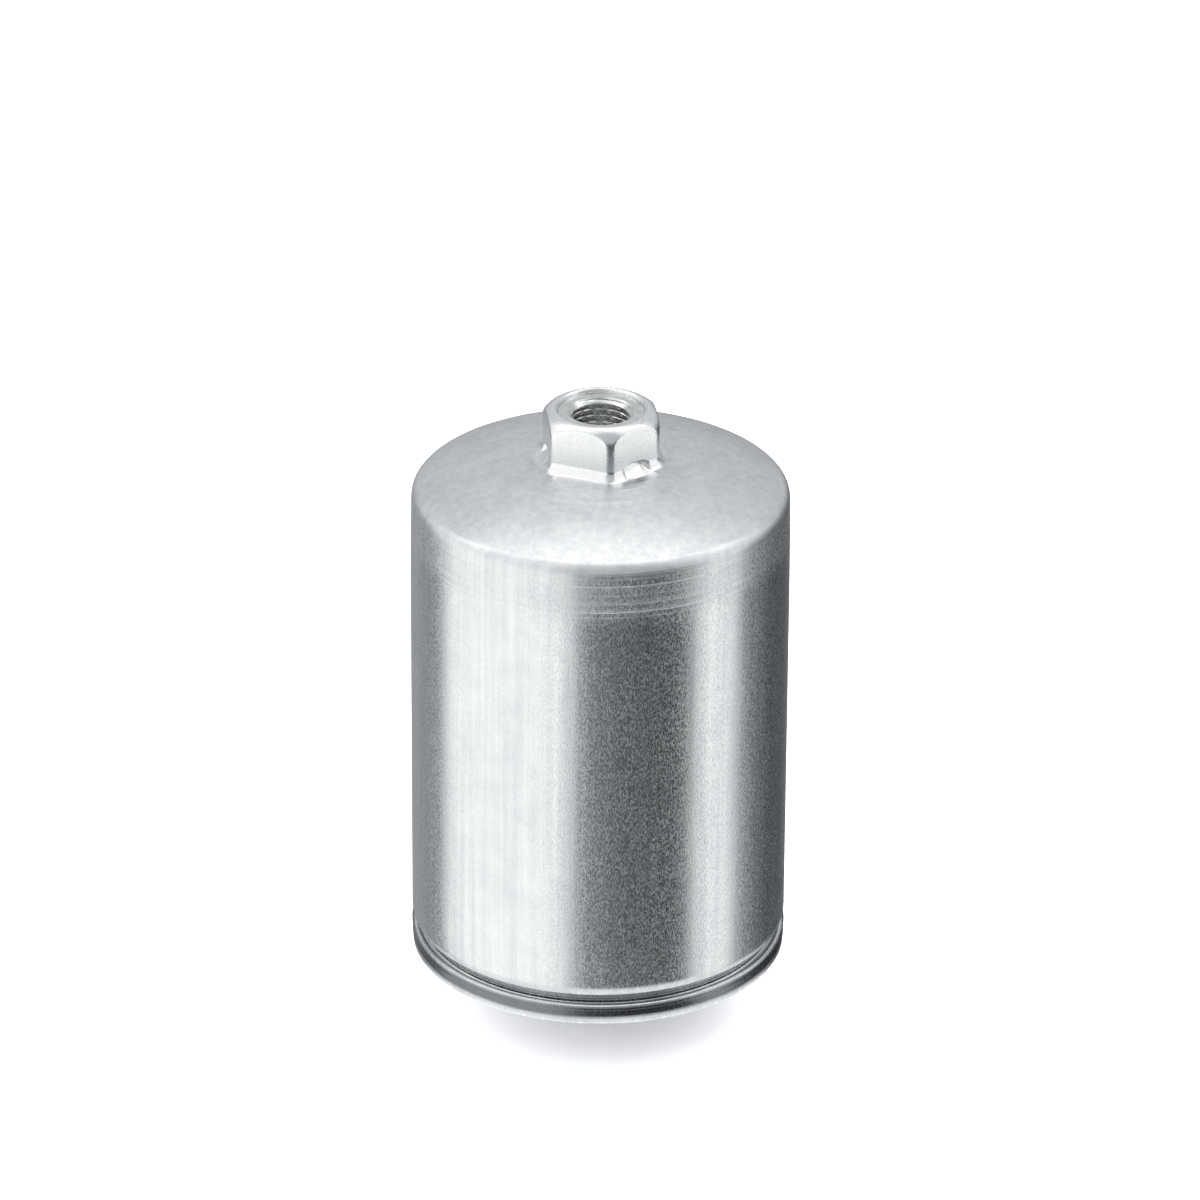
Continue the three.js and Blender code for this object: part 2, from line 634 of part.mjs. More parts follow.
function supportPlate() {
  const radius = flangeRadius - GASKET_WIDTH - GAP;
  const holeCircle = (SPRING_COIL_RADIUS + SPRING_WIRE + radius) / 2;
  let plate = disc(radius, plateBottom, plateBottom + PLATE_SHEET);
  for (let i = 0; i < PLATE_HOLES; i++) {
    const hole = disc(PLATE_HOLE_RADIUS, plateBottom - 1, plateBottom + PLATE_SHEET + 1, 12);
    const angle = (2 * Math.PI * (i + 0.5)) / PLATE_HOLES;
    plate = plate.subtract(hole.translate([holeCircle * Math.cos(angle), holeCircle * Math.sin(angle), 0]));
  }
  return plate;
}

function seamGasket() {
  return ring(flangeRadius - GASKET_WIDTH, flangeRadius, gasketBottom, gasketTop);
}

// ---- Assembly -----------------------------------------------------------------------------------
const filter = new THREE.Group();

const outletEnd = new THREE.Group();
outletEnd.position.z = OVERALL_LENGTH;
outletEnd.rotation.z = UPPER_HEX_TURN;
outletEnd.add(
  piece("housing_can", housingCan(), canSteel),
  piece("outlet_bush_seal", bushSeal(CAN_SHEET), sealRubber),
  piece("outlet_bush", outletBush(), bushSteel),
  piece("strainer_gauze", strainerGauze(), gauzeBrass),
  piece("strainer_ring", strainerRing(), cageSteel),
);

const inletEnd = new THREE.Group();
inletEnd.rotation.set(Math.PI, 0, LOWER_HEX_TURN, "ZXY");
inletEnd.add(
  piece("end_cover", endCover(), coverSteel),
  piece("inlet_bush_seal", bushSeal(COVER_SHEET), sealRubber),
  piece("inlet_bush", bush(COVER_SHEET, INLET_SHANK_LENGTH, []), bushSteel),
);

const element = new THREE.Group();
element.position.z = elementFoot;
const upperCap = piece("upper_end_cap", endCap(capHoleRadius), cageSteel);
upperCap.rotation.x = Math.PI;
upperCap.position.z = ELEMENT_LENGTH;
element.add(
  upperCap,
  piece("upper_adhesive", adhesiveRing(paperTop + GAP), adhesive),
  piece("outlet_grommet", outletGrommet(), sealRubber),
  piece("filter_paper", filterPaperWall(), filterPaper),
  piece("pleat_clip", pleatClip(), cageSteel),
  piece("core_tube", coreTube(), cageSteel),
  piece("lower_adhesive", adhesiveRing(adhesiveFoot), adhesive),
  piece("lower_end_cap", endCap(0), cageSteel),
);

filter.add(
  outletEnd,
  element,
  piece("spring_star", springStar(), cageSteel),
  piece("element_spring", elementSpring(), springSteel),
  piece("support_plate", supportPlate(), cageSteel),
  piece("seam_gasket", seamGasket(), sealRubber),
  inletEnd,
);

export default filter;
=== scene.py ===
"""An inline fuel filter in a drawn steel can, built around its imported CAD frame, in the order in which
it is put together."""
import math

import bmesh
import bpy
from mathutils import Matrix, Vector


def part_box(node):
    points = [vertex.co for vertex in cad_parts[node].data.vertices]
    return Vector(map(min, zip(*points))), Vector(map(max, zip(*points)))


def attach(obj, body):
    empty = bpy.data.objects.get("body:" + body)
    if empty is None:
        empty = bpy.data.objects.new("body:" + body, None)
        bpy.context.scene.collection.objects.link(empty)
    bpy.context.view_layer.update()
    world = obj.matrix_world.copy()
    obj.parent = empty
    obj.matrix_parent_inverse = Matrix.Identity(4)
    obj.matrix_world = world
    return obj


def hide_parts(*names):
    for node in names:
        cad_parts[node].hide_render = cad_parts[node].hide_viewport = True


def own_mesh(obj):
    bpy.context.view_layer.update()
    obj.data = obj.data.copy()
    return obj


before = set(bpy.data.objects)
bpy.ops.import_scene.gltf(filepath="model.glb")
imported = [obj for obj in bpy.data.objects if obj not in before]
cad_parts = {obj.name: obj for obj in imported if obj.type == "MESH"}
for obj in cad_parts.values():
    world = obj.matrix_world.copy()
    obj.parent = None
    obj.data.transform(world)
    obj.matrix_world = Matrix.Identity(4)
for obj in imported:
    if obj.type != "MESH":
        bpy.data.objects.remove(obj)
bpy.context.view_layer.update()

# ---- Housing can ---------------------------------------------------------------------------------
# A deep-drawn can of tin-plated steel, 0.9 mm thick. The press draws its top into a shallow dome and
# the dome into a hexagonal boss, then dents the flats of the boss under the bush that they hold.
MM = 0.001
HEX_FLAT = 12.0  # mm, from the axis to a flat
HEX_CORNER = 2.4  # mm, radius of the hexagon's corners
BOSS_HEIGHT = 11.5  # mm, lip to dome
LIP_HOLE = 9.7  # mm, radius of the hole round the bush
LIP_FLAT = 0.5  # mm, flat left round that hole
LIP_ROUNDING = 4.2  # mm, radius of the drawn edge
LIP_SLOPE = math.radians(12)
BOSS_FILLET = 2.3  # mm, where the flats run out into the dome
DOME_START = 14.5  # mm, radius at which the dome proper begins
DOME_SLOPE = math.radians(6)
DISH_EDGE = 22.5  # mm, radius out to which the dome is dished by drawing the boss
DISH_DEPTH = 0.16  # mm
RING_RADIUS = 21.3  # mm, of the raised ring near the dish's edge
RING_HEIGHT = 0.07  # mm
RING_WIDTH = 0.9  # mm
DENTED_FLATS = (0, 1, 3, 4)
DENT_TOP = 8.5  # mm, below the lip, at the middle of the flat
DENT_SAG = 0.9  # mm, by which the dent's top is lower at its ends
DENT_REACH = 3.4  # mm, to either side of the flat's middle
DENT_DEPTH = 1.05  # mm
SLIT_DEPTH = 0.5  # mm, of the crease along the dent
SLIT_WIDTH = 0.25  # mm
SLIT_DROP = 0.5  # mm, from the dent's top
SHALLOW_FLAT = 0  # the flat whose dent leaves hardly any hollow beside it
CAN_SHEET = 0.9  # mm
NECK_HEIGHT = 4.3  # mm, seam to the foot of the straight wall
can_low, can_high = (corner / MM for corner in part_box("housing_can"))
wall = can_high.x


def from_hex(hex_colour):
    """An sRGB hex colour as linear RGBA."""
    parts = [int(hex_colour[i : i + 2], 16) / 255 for i in (1, 3, 5)]
    return [p / 12.92 if p <= 0.04045 else ((p + 0.055) / 1.055) ** 2.4 for p in parts] + [1.0]


def add(tree, kind, inputs=None, **settings):
    """A shader node with its settings, its values and the links into it."""
    made = tree.nodes.new(kind)
    for name, value in settings.items():
        setattr(made, name, value)
    for key, value in (inputs or {}).items():
        if isinstance(value, bpy.types.NodeSocket):
            tree.links.new(value, made.inputs[key])
        else:
            made.inputs[key].default_value = value
    return made


def smooth_step(low, high, value):
    share = min(1.0, max(0.0, (value - low) / (high - low)))
    return share * share * (3 - 2 * share)


def arc(centre_r, centre_z, radius, start, end, steps):
    """Radius and height along an arc. A slope of 0 is its top and one of 90 degrees its outermost point."""
    slopes = [math.radians(start + (end - start) * i / steps) for i in range(steps + 1)]
    return [(centre_r + radius * math.sin(s), centre_z + radius * math.cos(s)) for s in slopes]


def from_flat(angle):
    """The flat's number, counted from the one next to the corner on -Y, and the angle from its middle."""
    turned = (math.degrees(angle) + 90) % 360
    return int(turned // 60), math.radians(turned % 60 - 30)


def hex_radius(angle):
    """Radius of the hexagon with its round corners."""
    off = from_flat(angle)[1]
    to_corner = (HEX_FLAT - HEX_CORNER) / math.cos(math.radians(30))
    if abs(off) < math.atan(to_corner / 2 / HEX_FLAT):
        return HEX_FLAT / math.cos(off)
    across = math.radians(30) - abs(off)
    return to_corner * math.cos(across) + math.sqrt(HEX_CORNER**2 - (to_corner * math.sin(across)) ** 2)


def boss_radius(angle, depth):
    """Radius of the boss's outside: the hexagon, cut round by the drawn edge, less the dents."""
    flat, off = from_flat(angle)
    sides = hex_radius(angle)
    edge_r = LIP_HOLE + LIP_FLAT - LIP_ROUNDING * math.sin(LIP_SLOPE)
    edge_z = LIP_ROUNDING * math.cos(LIP_SLOPE)
    crown = edge_r + math.sqrt(max(0.0, LIP_ROUNDING**2 - max(0.0, edge_z - depth) ** 2))
    if depth > edge_z:
        crown += depth - edge_z
    soft = 0.22  # mm, over which the drawn edge runs into the flats
    gap = max(0.0, 1 - abs(sides - crown) / soft)
    radius = min(sides, crown) - gap * gap * soft / 4
    if flat in DENTED_FLATS:
        across = HEX_FLAT * math.tan(off)
        top = DENT_TOP + DENT_SAG * (across / DENT_REACH) ** 2
        wide = 1 - smooth_step(2.6, 3.5, abs(across))
        shelf = smooth_step(top, top + 0.2, depth)
        run_out = 1 - smooth_step(top + 0.9, top + 3.0, depth)
        slit = SLIT_DEPTH * math.exp(-(((depth - top - SLIT_DROP) / SLIT_WIDTH) ** 2))
        radius -= (DENT_DEPTH * shelf * run_out + slit) * wide
    return radius


def dome_depth(radius, dome_edge, edge_slope):
    """Depth of the dome's outside below the lip, with the rings that drawing the boss leaves in it."""
    big = (dome_edge - DOME_START) / (math.sin(edge_slope) - math.sin(DOME_SLOPE))
    centre = DOME_START - big * math.sin(DOME_SLOPE)
    depth = BOSS_HEIGHT + big * (math.cos(DOME_SLOPE) - math.sqrt(1 - ((radius - centre) / big) ** 2))
    dished = DISH_DEPTH * (1 - smooth_step(DOME_START, DISH_EDGE, radius))
    ring = RING_HEIGHT * math.exp(-(((radius - RING_RADIUS) / RING_WIDTH) ** 2))
    return depth + dished - ring


def foot_hollow(angle, radius):
    """Depth of the hollow that pressing in a dent leaves in the dome beside it."""
    flat, off = from_flat(angle)
    if flat not in DENTED_FLATS:
        return 0.0
    along, across = radius * math.cos(off), radius * math.sin(off)
    deep = 0.1 if flat == SHALLOW_FLAT else 0.7
    middle, reach = 14.2, 1.5  # mm, outwards from the axis
    return deep * math.exp(-((across / DENT_REACH) ** 2)) * math.exp(-(((along - middle) / reach) ** 2))


def drawn_end(dome_edge, edge_slope):
    """Rings from the lip's hole over the boss to the dome's edge, each a function of the angle that
    gives radius and height in mm, with the lip at height 0."""
    lip_from, edge_to = 17, 82  # degrees, the slopes between which the drawn edge is round
    inner_edge = [(LIP_HOLE - 0.2, -1.05), (LIP_HOLE - 0.18, -0.96), (LIP_HOLE - 0.08, -0.93)]
    inner_edge += arc(LIP_HOLE + 0.636, -0.809, 0.75, -58, lip_from, 9)
    rings = [lambda a, r=r, z=z: (r, z) for r, z in inner_edge]
    edge_z = -LIP_ROUNDING * math.cos(LIP_SLOPE)
    slopes = [lip_from + (edge_to - lip_from) * i / 16 for i in range(1, 17)]
    depths = [-edge_z - LIP_ROUNDING * math.cos(math.radians(s)) for s in slopes]
    foot = BOSS_HEIGHT - BOSS_FILLET + 0.1
    dents_from = DENT_TOP - 0.2  # the rings are closer from here down, for the dents
    depths += [depths[-1] + (dents_from - depths[-1]) * i / 10 for i in range(1, 11)]
    depths += [dents_from + (foot - dents_from) * i / 14 for i in range(1, 15)]
    rings += [lambda a, d=d: (boss_radius(a, d), -d) for d in depths]

    def fillet(angle, slope):
        """The flats, still dented, run out into the dome."""
        radius = boss_radius(angle, foot + BOSS_FILLET * math.sin(slope))
        radius += BOSS_FILLET * (1 - math.cos(slope))
        outer = hex_radius(angle) + BOSS_FILLET
        fall = dome_depth(outer, dome_edge, edge_slope) - foot
        return radius, -(foot + fall * math.sin(slope)) - foot_hollow(angle, radius)

    rings += [lambda a, s=math.radians(90 * i / 10): fillet(a, s) for i in range(1, 11)]

    def dome(angle, share):
        """From the hexagon's outline to the round edge of the dome."""
        start = hex_radius(angle) + BOSS_FILLET
        radius = start + (dome_edge - start) * share
        return radius, -dome_depth(radius, dome_edge, edge_slope) - foot_hollow(angle, radius)

    rings += [lambda a, t=i / 30: dome(a, t) for i in range(1, 31)]
    return rings


def ringed(mesh, rings, segments):
    """A tube through rings: a circle extruded ring by ring and moved to each ring's place."""
    verts = bmesh.ops.create_circle(mesh, segments=segments, radius=1)["verts"]
    edges = list({edge for vert in verts for edge in vert.link_edges})
    angles = {vert: math.atan2(vert.co.y, vert.co.x) for vert in verts}
    for number, ring in enumerate(rings):
        if number:
            grown = bmesh.ops.extrude_edge_only(mesh, edges=edges)["geom"]
            fresh = [item for item in grown if isinstance(item, bmesh.types.BMVert)]
            angles = {vert: math.atan2(vert.co.y, vert.co.x) for vert in fresh}
            edges = [item for item in grown if isinstance(item, bmesh.types.BMEdge)]
            edges = [edge for edge in edges if all(vert in angles for vert in edge.verts)]
        for vert, angle in angles.items():
            radius, height = ring(angle)
            vert.co = (radius * math.cos(angle), radius * math.sin(angle), height)


def finished(name, mesh, material, body, nodes, place=None, sharp=35):
    """A bmesh in millimetres as a piece in metres that rides on a body and stands for CAD nodes."""
    bmesh.ops.remove_doubles(mesh, verts=mesh.verts, dist=0.0005)
    bmesh.ops.recalc_face_normals(mesh, faces=mesh.faces)
    outermost = max(mesh.faces, key=lambda face: face.calc_center_median().xy.length)
    if outermost.normal.xy.dot(outermost.calc_center_median().xy) < 0:
        bmesh.ops.reverse_faces(mesh, faces=mesh.faces)
    bmesh.ops.transform(mesh, matrix=Matrix.Scale(MM, 4) @ (place or Matrix()), verts=mesh.verts)
    data = bpy.data.meshes.new(name)
    mesh.to_mesh(data)
    mesh.free()
    data.materials.append(material)
    data.shade_smooth()
    data.set_sharp_from_angle(angle=math.radians(sharp))
    made = bpy.data.objects.new(name, data)
    bpy.context.collection.objects.link(made)
    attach(made, body)
    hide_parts(*nodes)
    return made


def drawn_steel(name, light, dark, dome_from, dome_to, band_from, groove_shade_heights=(-2.0, -1.0), shade_below=-1.0):
    """Tin-plated, deep-drawn sheet: mirror-like between fine specks that scatter light. The specks are
    drawn out upright on the wall and round on the dome, and change over between the heights dome_from
    and dome_to, in metres. A rougher band runs under the shoulder, from band_from up, and rings run
    round the boss, which is painted paler, as a highlight. A dark stripe is painted between the two
    heights given for the seam's groove, as shade, and below the last height given the sheet is painted
    darker, as shade on the underside. The specks are really 0.05 mm wide and are drawn 0.2 to 0.3 mm
    wide, so that they show."""
    material = bpy.data.materials.new(name)
    material.use_nodes = True
    tree = material.node_tree
    shader = tree.nodes["Principled BSDF"]
    place = add(tree, "ShaderNodeTexCoord").outputs["Object"]
    lines_at = add(tree, "ShaderNodeMapping", {"Vector": place, "Scale": (1, 1, 0.3)})
    lines = add(tree, "ShaderNodeTexNoise", {"Vector": lines_at.outputs["Vector"], "Scale": 1 / (0.2 * MM),
                                             "Detail": 1.0, "Roughness": 0.6})
    speckle = add(tree, "ShaderNodeTexNoise", {"Vector": place, "Scale": 1 / (0.3 * MM), "Detail": 2.0,
                                               "Roughness": 0.75})
    streak_at = add(tree, "ShaderNodeMapping", {"Vector": place, "Scale": (1, 1, 0.02)})
    streaks = add(tree, "ShaderNodeTexNoise", {"Vector": streak_at.outputs["Vector"], "Scale": 1 / (1.6 * MM),
                                               "Detail": 3.0, "Roughness": 0.6})
    cloud = add(tree, "ShaderNodeTexNoise", {"Vector": place, "Scale": 1 / (7 * MM), "Detail": 4.0,
                                             "Roughness": 0.65})
    split = add(tree, "ShaderNodeSeparateXYZ", {"Vector": place})
    flat_place = add(tree, "ShaderNodeCombineXYZ", {"X": split.outputs["X"], "Y": split.outputs["Y"]})
    radius = add(tree, "ShaderNodeVectorMath", {0: flat_place.outputs[0]}, operation="LENGTH")
    rings = add(tree, "ShaderNodeTexNoise", {"W": radius.outputs["Value"], "Scale": 1 / (1.6 * MM),
                                             "Detail": 2.0}, noise_dimensions="1D")
    hoops = add(tree, "ShaderNodeTexNoise", {"W": split.outputs["Z"], "Scale": 1 / (1.2 * MM),
                                             "Detail": 3.0}, noise_dimensions="1D")
    on_dome = add(tree, "ShaderNodeMapRange", {"Value": split.outputs["Z"], "From Min": dome_from,
                                               "From Max": dome_to})
    near_boss = add(tree, "ShaderNodeMapRange", {"Value": radius.outputs["Value"], "From Min": 25 * MM,
                                                 "From Max": 15.5 * MM})
    off_boss = add(tree, "ShaderNodeMapRange", {"Value": radius.outputs["Value"], "From Min": 15 * MM,
                                                "From Max": 17 * MM})
    wavy = add(tree, "ShaderNodeMath", {0: cloud.outputs["Fac"], 1: 4 * MM, 2: split.outputs["Z"]},
               operation="MULTIPLY_ADD")
    in_band = add(tree, "ShaderNodeMapRange", {"Value": wavy.outputs[0], "From Min": band_from,
                                               "From Max": band_from + 5 * MM})
    ring_share = add(tree, "ShaderNodeMath", {0: off_boss.outputs[0], 1: near_boss.outputs[0]},
                     operation="MULTIPLY")
    grain = add(tree, "ShaderNodeMix", {"Factor": on_dome.outputs[0], 2: lines.outputs["Fac"],
                                        3: speckle.outputs["Fac"]}, data_type="FLOAT")
    specks = add(tree, "ShaderNodeMapRange", {"Value": grain.outputs[0], "From Min": 0.42, "From Max": 0.66})
    streaky = add(tree, "ShaderNodeMath", {0: streaks.outputs["Fac"], 1: 0.6}, operation="MULTIPLY")
    tone = add(tree, "ShaderNodeMath", {0: cloud.outputs["Fac"], 1: 0.4, 2: streaky.outputs[0]},
               operation="MULTIPLY_ADD")
    shade = add(tree, "ShaderNodeValToRGB", {"Fac": tone.outputs[0]})
    shade.color_ramp.elements[0].position = 0.36
    shade.color_ramp.elements[0].color = from_hex(dark)
    shade.color_ramp.elements[1].position = 0.62
    shade.color_ramp.elements[1].color = from_hex(light)
    # A dark stripe is painted on the seam's groove, as shade.
    below = add(tree, "ShaderNodeMapRange", {"Value": split.outputs["Z"], "From Min": groove_shade_heights[0] - 0.4 * MM,
                                             "From Max": groove_shade_heights[0] + 0.4 * MM})
    above = add(tree, "ShaderNodeMapRange", {"Value": split.outputs["Z"], "From Min": groove_shade_heights[1] + 0.3 * MM,
                                             "From Max": groove_shade_heights[1] - 0.3 * MM})
    groove_shade = add(tree, "ShaderNodeMath", {0: below.outputs[0], 1: above.outputs[0]}, operation="MULTIPLY")
    groove_shade = add(tree, "ShaderNodeMath", {0: groove_shade.outputs[0], 1: 0.85}, operation="MULTIPLY")
    shade = add(tree, "ShaderNodeMix", {"Factor": groove_shade.outputs[0], 6: shade.outputs["Color"],
                                        7: from_hex("#5C5E60")}, data_type="RGBA")
    # The boss is painted paler, as a highlight.
    painted_boss_highlight = add(tree, "ShaderNodeMapRange", {"Value": radius.outputs["Value"], "From Min": 14.6 * MM,
                                                 "From Max": 14 * MM, "To Max": 0.55})
    shade = add(tree, "ShaderNodeMix", {"Factor": painted_boss_highlight.outputs[0], 6: shade.outputs[2],
                                        7: from_hex("#F4F4F4")}, data_type="RGBA")
    # Below the last height given the sheet is painted darker, as shade on the underside and the lower boss.
    underside_shade = add(tree, "ShaderNodeMapRange", {"Value": split.outputs["Z"], "From Min": shade_below + 1.5 * MM,
                                            "From Max": shade_below, "To Max": 0.75})
    shade = add(tree, "ShaderNodeMix", {"Factor": underside_shade.outputs[0], 6: shade.outputs[2],
                                        7: from_hex("#77797B")}, data_type="RGBA")
    smooth = add(tree, "ShaderNodeMath", {0: specks.outputs[0], 1: 0.24, 2: 0.17}, operation="MULTIPLY_ADD")
    on_wall = add(tree, "ShaderNodeMath", {0: in_band.outputs[0], 1: on_dome.outputs[0]},
                  operation="SUBTRACT")
    on_disc = add(tree, "ShaderNodeMath", {0: off_boss.outputs[0], 1: on_dome.outputs[0]},
                  operation="MULTIPLY")
    banded = add(tree, "ShaderNodeMath", {0: on_wall.outputs[0], 1: 0.1, 2: smooth.outputs[0]},
                 operation="MULTIPLY_ADD")
    banded = add(tree, "ShaderNodeMath", {0: on_disc.outputs[0], 1: 0.14, 2: banded.outputs[0]},
                 operation="MULTIPLY_ADD")
    fine = add(tree, "ShaderNodeBump", {"Height": grain.outputs[0], "Strength": 0.35, "Distance": 0.05 * MM})
    ring_height = add(tree, "ShaderNodeMath", {0: rings.outputs["Fac"], 1: ring_share.outputs[0]},
                      operation="MULTIPLY")
    hoop_height = add(tree, "ShaderNodeMath", {0: hoops.outputs["Fac"], 1: on_wall.outputs[0],
                                               2: ring_height.outputs[0]}, operation="MULTIPLY_ADD")
    drawn = add(tree, "ShaderNodeBump", {"Height": hoop_height.outputs[0], "Strength": 0.5,
                                         "Distance": 0.35 * MM, "Normal": fine.outputs["Normal"]})
    tree.links.new(shade.outputs[2], shader.inputs["Base Color"])
    tree.links.new(banded.outputs[0], shader.inputs["Roughness"])
    tree.links.new(drawn.outputs["Normal"], shader.inputs["Normal"])
    shader.inputs["Metallic"].default_value = 1.0
    return material


def can_rings():
    """The can's outside from the boss to the flange, with the lip at height 0."""
    shoulder = 3.1  # mm, radius
    inset = 0.2  # mm, by which the wall is narrower at the shoulder
    slope = 25  # degrees, at the dome's edge
    dome_edge = wall - inset - shoulder * (1 - math.sin(math.radians(slope)))
    rings = drawn_end(dome_edge, math.radians(slope))
    shoulder_z = -dome_depth(dome_edge, dome_edge, math.radians(slope))
    shoulder_z -= shoulder * math.cos(math.radians(slope))
    taper = 22  # mm, over which the wall widens below the shoulder
    flange_z = can_low.z + CAN_SHEET - can_high.z
    foot_z = flange_z + 1.3 + NECK_HEIGHT  # 1.3 mm is the cover's curl over the flange
    neck = wall - 2.7
    bend = 0.3  # mm, radius from the neck to the flange
    outline = arc(wall - inset - shoulder, shoulder_z, shoulder, slope, 90, 12)[1:]
    outline += [(wall - inset * (1 - i / 6) ** 2, shoulder_z - taper * i / 6) for i in range(1, 7)]
    taper_end = outline[-1][1]
    outline += [(wall, taper_end + (foot_z - taper_end) * i / 8) for i in range(1, 8)]
    outline += arc(wall - 6, foot_z, 6, 90, 110, 6)  # turned in, gently and then tightly, to the neck
    outline += arc(wall - 1.49, foot_z - 1.64, 1.2, 110, 140, 5)[1:]
    outline += [(neck + 0.35, foot_z - 4.3), (neck + 0.05, foot_z - 4.7), (neck, flange_z + bend)]
    for t in (math.radians(45), math.radians(90)):
        outline.append((neck + bend * (1 - math.cos(t)), flange_z + bend * (1 - math.sin(t))))
    outline += [(wall - 1.05, flange_z)]
    return rings + [lambda a, r=r, z=z: (r, z) for r, z in outline]


SPECKS_UPRIGHT = 22.5  # mm, below the lip, where the specks are wholly upright
SPECKS_ROUND = 17.5  # mm, below the lip, where they are wholly round
BAND_FOOT = 31.0  # mm, below the lip
can_steel = drawn_steel("deep_drawn_tinplate", "#E2E3E3", "#D0D2D3", (can_high.z - SPECKS_UPRIGHT) * MM,
                        (can_high.z - SPECKS_ROUND) * MM, (can_high.z - BAND_FOOT) * MM)
mesh = bmesh.new()
ringed(mesh, can_rings(), 240)
can = finished("can_shell", mesh, can_steel, "housing", ["housing_can"],
               Matrix.Translation((0, 0, can_high.z)), 60)
sheet = can.modifiers.new("sheet", "SOLIDIFY")
sheet.thickness = CAN_SHEET * MM
sheet.offset = -1

# ---- Threaded bushes -----------------------------------------------------------------------------
# Turned from hexagonal steel bar, tapped M14 x 1.5 and zinc-plated. The hexagon keeps each from
# turning in its boss; the outlet's longer one has a nose for the element to slide on.
THREAD_RADIUS = 7.0  # mm
THREAD_PITCH = 1.5  # mm
THREAD_DEPTH = 0.81  # mm
THREAD_LENGTH = 12.0  # mm
CREST_FLAT = 0.25  # of the pitch
ROOT_FLAT = 0.125  # of the pitch
BUSH_RECESS = 1.0  # mm, below the lip
HEX_TOP = -3.3  # mm, of the bush's hexagon, from the lip
HEX_FOOT = -8.5  # mm
PASSAGE = 4.6  # mm, radius of the plain bore


def thread_radius(angle, depth):
    """Radius of the tapped bore at a depth below the bush's face, right-handed."""
    mouth = THREAD_RADIUS + 0.25 - depth
    fade = 1 - smooth_step(THREAD_LENGTH - 2, THREAD_LENGTH, depth)
    phase = (-depth / THREAD_PITCH - angle / (2 * math.pi)) % 1
    flank = (1 - abs(2 * phase - 1) - CREST_FLAT) / (1 - CREST_FLAT - ROOT_FLAT)
    cut = THREAD_DEPTH * fade * min(1.0, max(0.0, flank))
    return max(THREAD_RADIUS - THREAD_DEPTH + cut, mouth)


def bush_rings(sheet_thickness, below):
    """A closed run of rings: down the thread, through the passage and back up the outside, which
    below gives from the foot to the hexagon."""
    face = -BUSH_RECESS
    spigot = LIP_HOLE - 0.03
    chamfer = 0.25  # mm, on the spigot
    levels = [THREAD_LENGTH * i / 110 for i in range(111)]
    rings = [lambda a, d=d: (thread_radius(a, d), face - d) for d in levels]
    foot = below[0][1]
    bore = [(PASSAGE, face - THREAD_LENGTH - 1.2), (PASSAGE, foot + 0.3), (PASSAGE + 0.3, foot)]
    rings += [lambda a, r=r, z=z: (r, z) for r, z in bore + below]
    inset = sheet_thickness + 0.15
    undented = DENT_TOP - 0.5
    for depth in (-HEX_FOOT, -HEX_FOOT - 0.4, -HEX_TOP + 1.0, -HEX_TOP):
        rings.append(lambda a, d=depth: (boss_radius(a, min(d, undented)) - inset, -d))
    end = [(spigot, HEX_TOP), (spigot, face - chamfer), (spigot - chamfer, face)]
    rings += [lambda a, r=r, z=z: (r, z) for r, z in end + [(THREAD_RADIUS + 0.27, face)]]
    return rings + rings[:1]


def turned_steel(name, light, dark, roughness):
    """Turned and zinc-plated bar, with fine rings from the lathe tool and a soft grey bloom. The rings
    are really 0.12 mm apart and are drawn 0.25 mm apart, so that they show."""
    material = bpy.data.materials.new(name)
    material.use_nodes = True
    tree = material.node_tree
    shader = tree.nodes["Principled BSDF"]
    place = add(tree, "ShaderNodeTexCoord").outputs["Object"]
    split = add(tree, "ShaderNodeSeparateXYZ", {"Vector": place})
    flat_place = add(tree, "ShaderNodeCombineXYZ", {"X": split.outputs["X"], "Y": split.outputs["Y"]})
    radius = add(tree, "ShaderNodeVectorMath", {0: flat_place.outputs[0]}, operation="LENGTH")
    along = add(tree, "ShaderNodeMath", {0: radius.outputs["Value"], 1: split.outputs["Z"]}, operation="ADD")
    tool = add(tree, "ShaderNodeTexNoise", {"W": along.outputs[0], "Scale": 1 / (0.25 * MM), "Detail": 2.0},
               noise_dimensions="1D")
    bloom = add(tree, "ShaderNodeTexNoise", {"Vector": place, "Scale": 1 / (1.4 * MM), "Detail": 4.0})
    shade = add(tree, "ShaderNodeValToRGB", {"Fac": bloom.outputs["Fac"]})
    shade.color_ramp.elements[0].position = 0.3
    shade.color_ramp.elements[0].color = from_hex(dark)
    shade.color_ramp.elements[1].position = 0.7
    shade.color_ramp.elements[1].color = from_hex(light)
    rough = add(tree, "ShaderNodeMapRange", {"Value": bloom.outputs["Fac"], "To Min": roughness + 0.1,
                                             "To Max": roughness - 0.06})
    cut = add(tree, "ShaderNodeBump", {"Height": tool.outputs["Fac"], "Strength": 0.35,
                                       "Distance": 0.03 * MM})
    tree.links.new(shade.outputs["Color"], shader.inputs["Base Color"])
    tree.links.new(rough.outputs[0], shader.inputs["Roughness"])
    tree.links.new(cut.outputs["Normal"], shader.inputs["Normal"])
    shader.inputs["Metallic"].default_value = 1.0
    return material


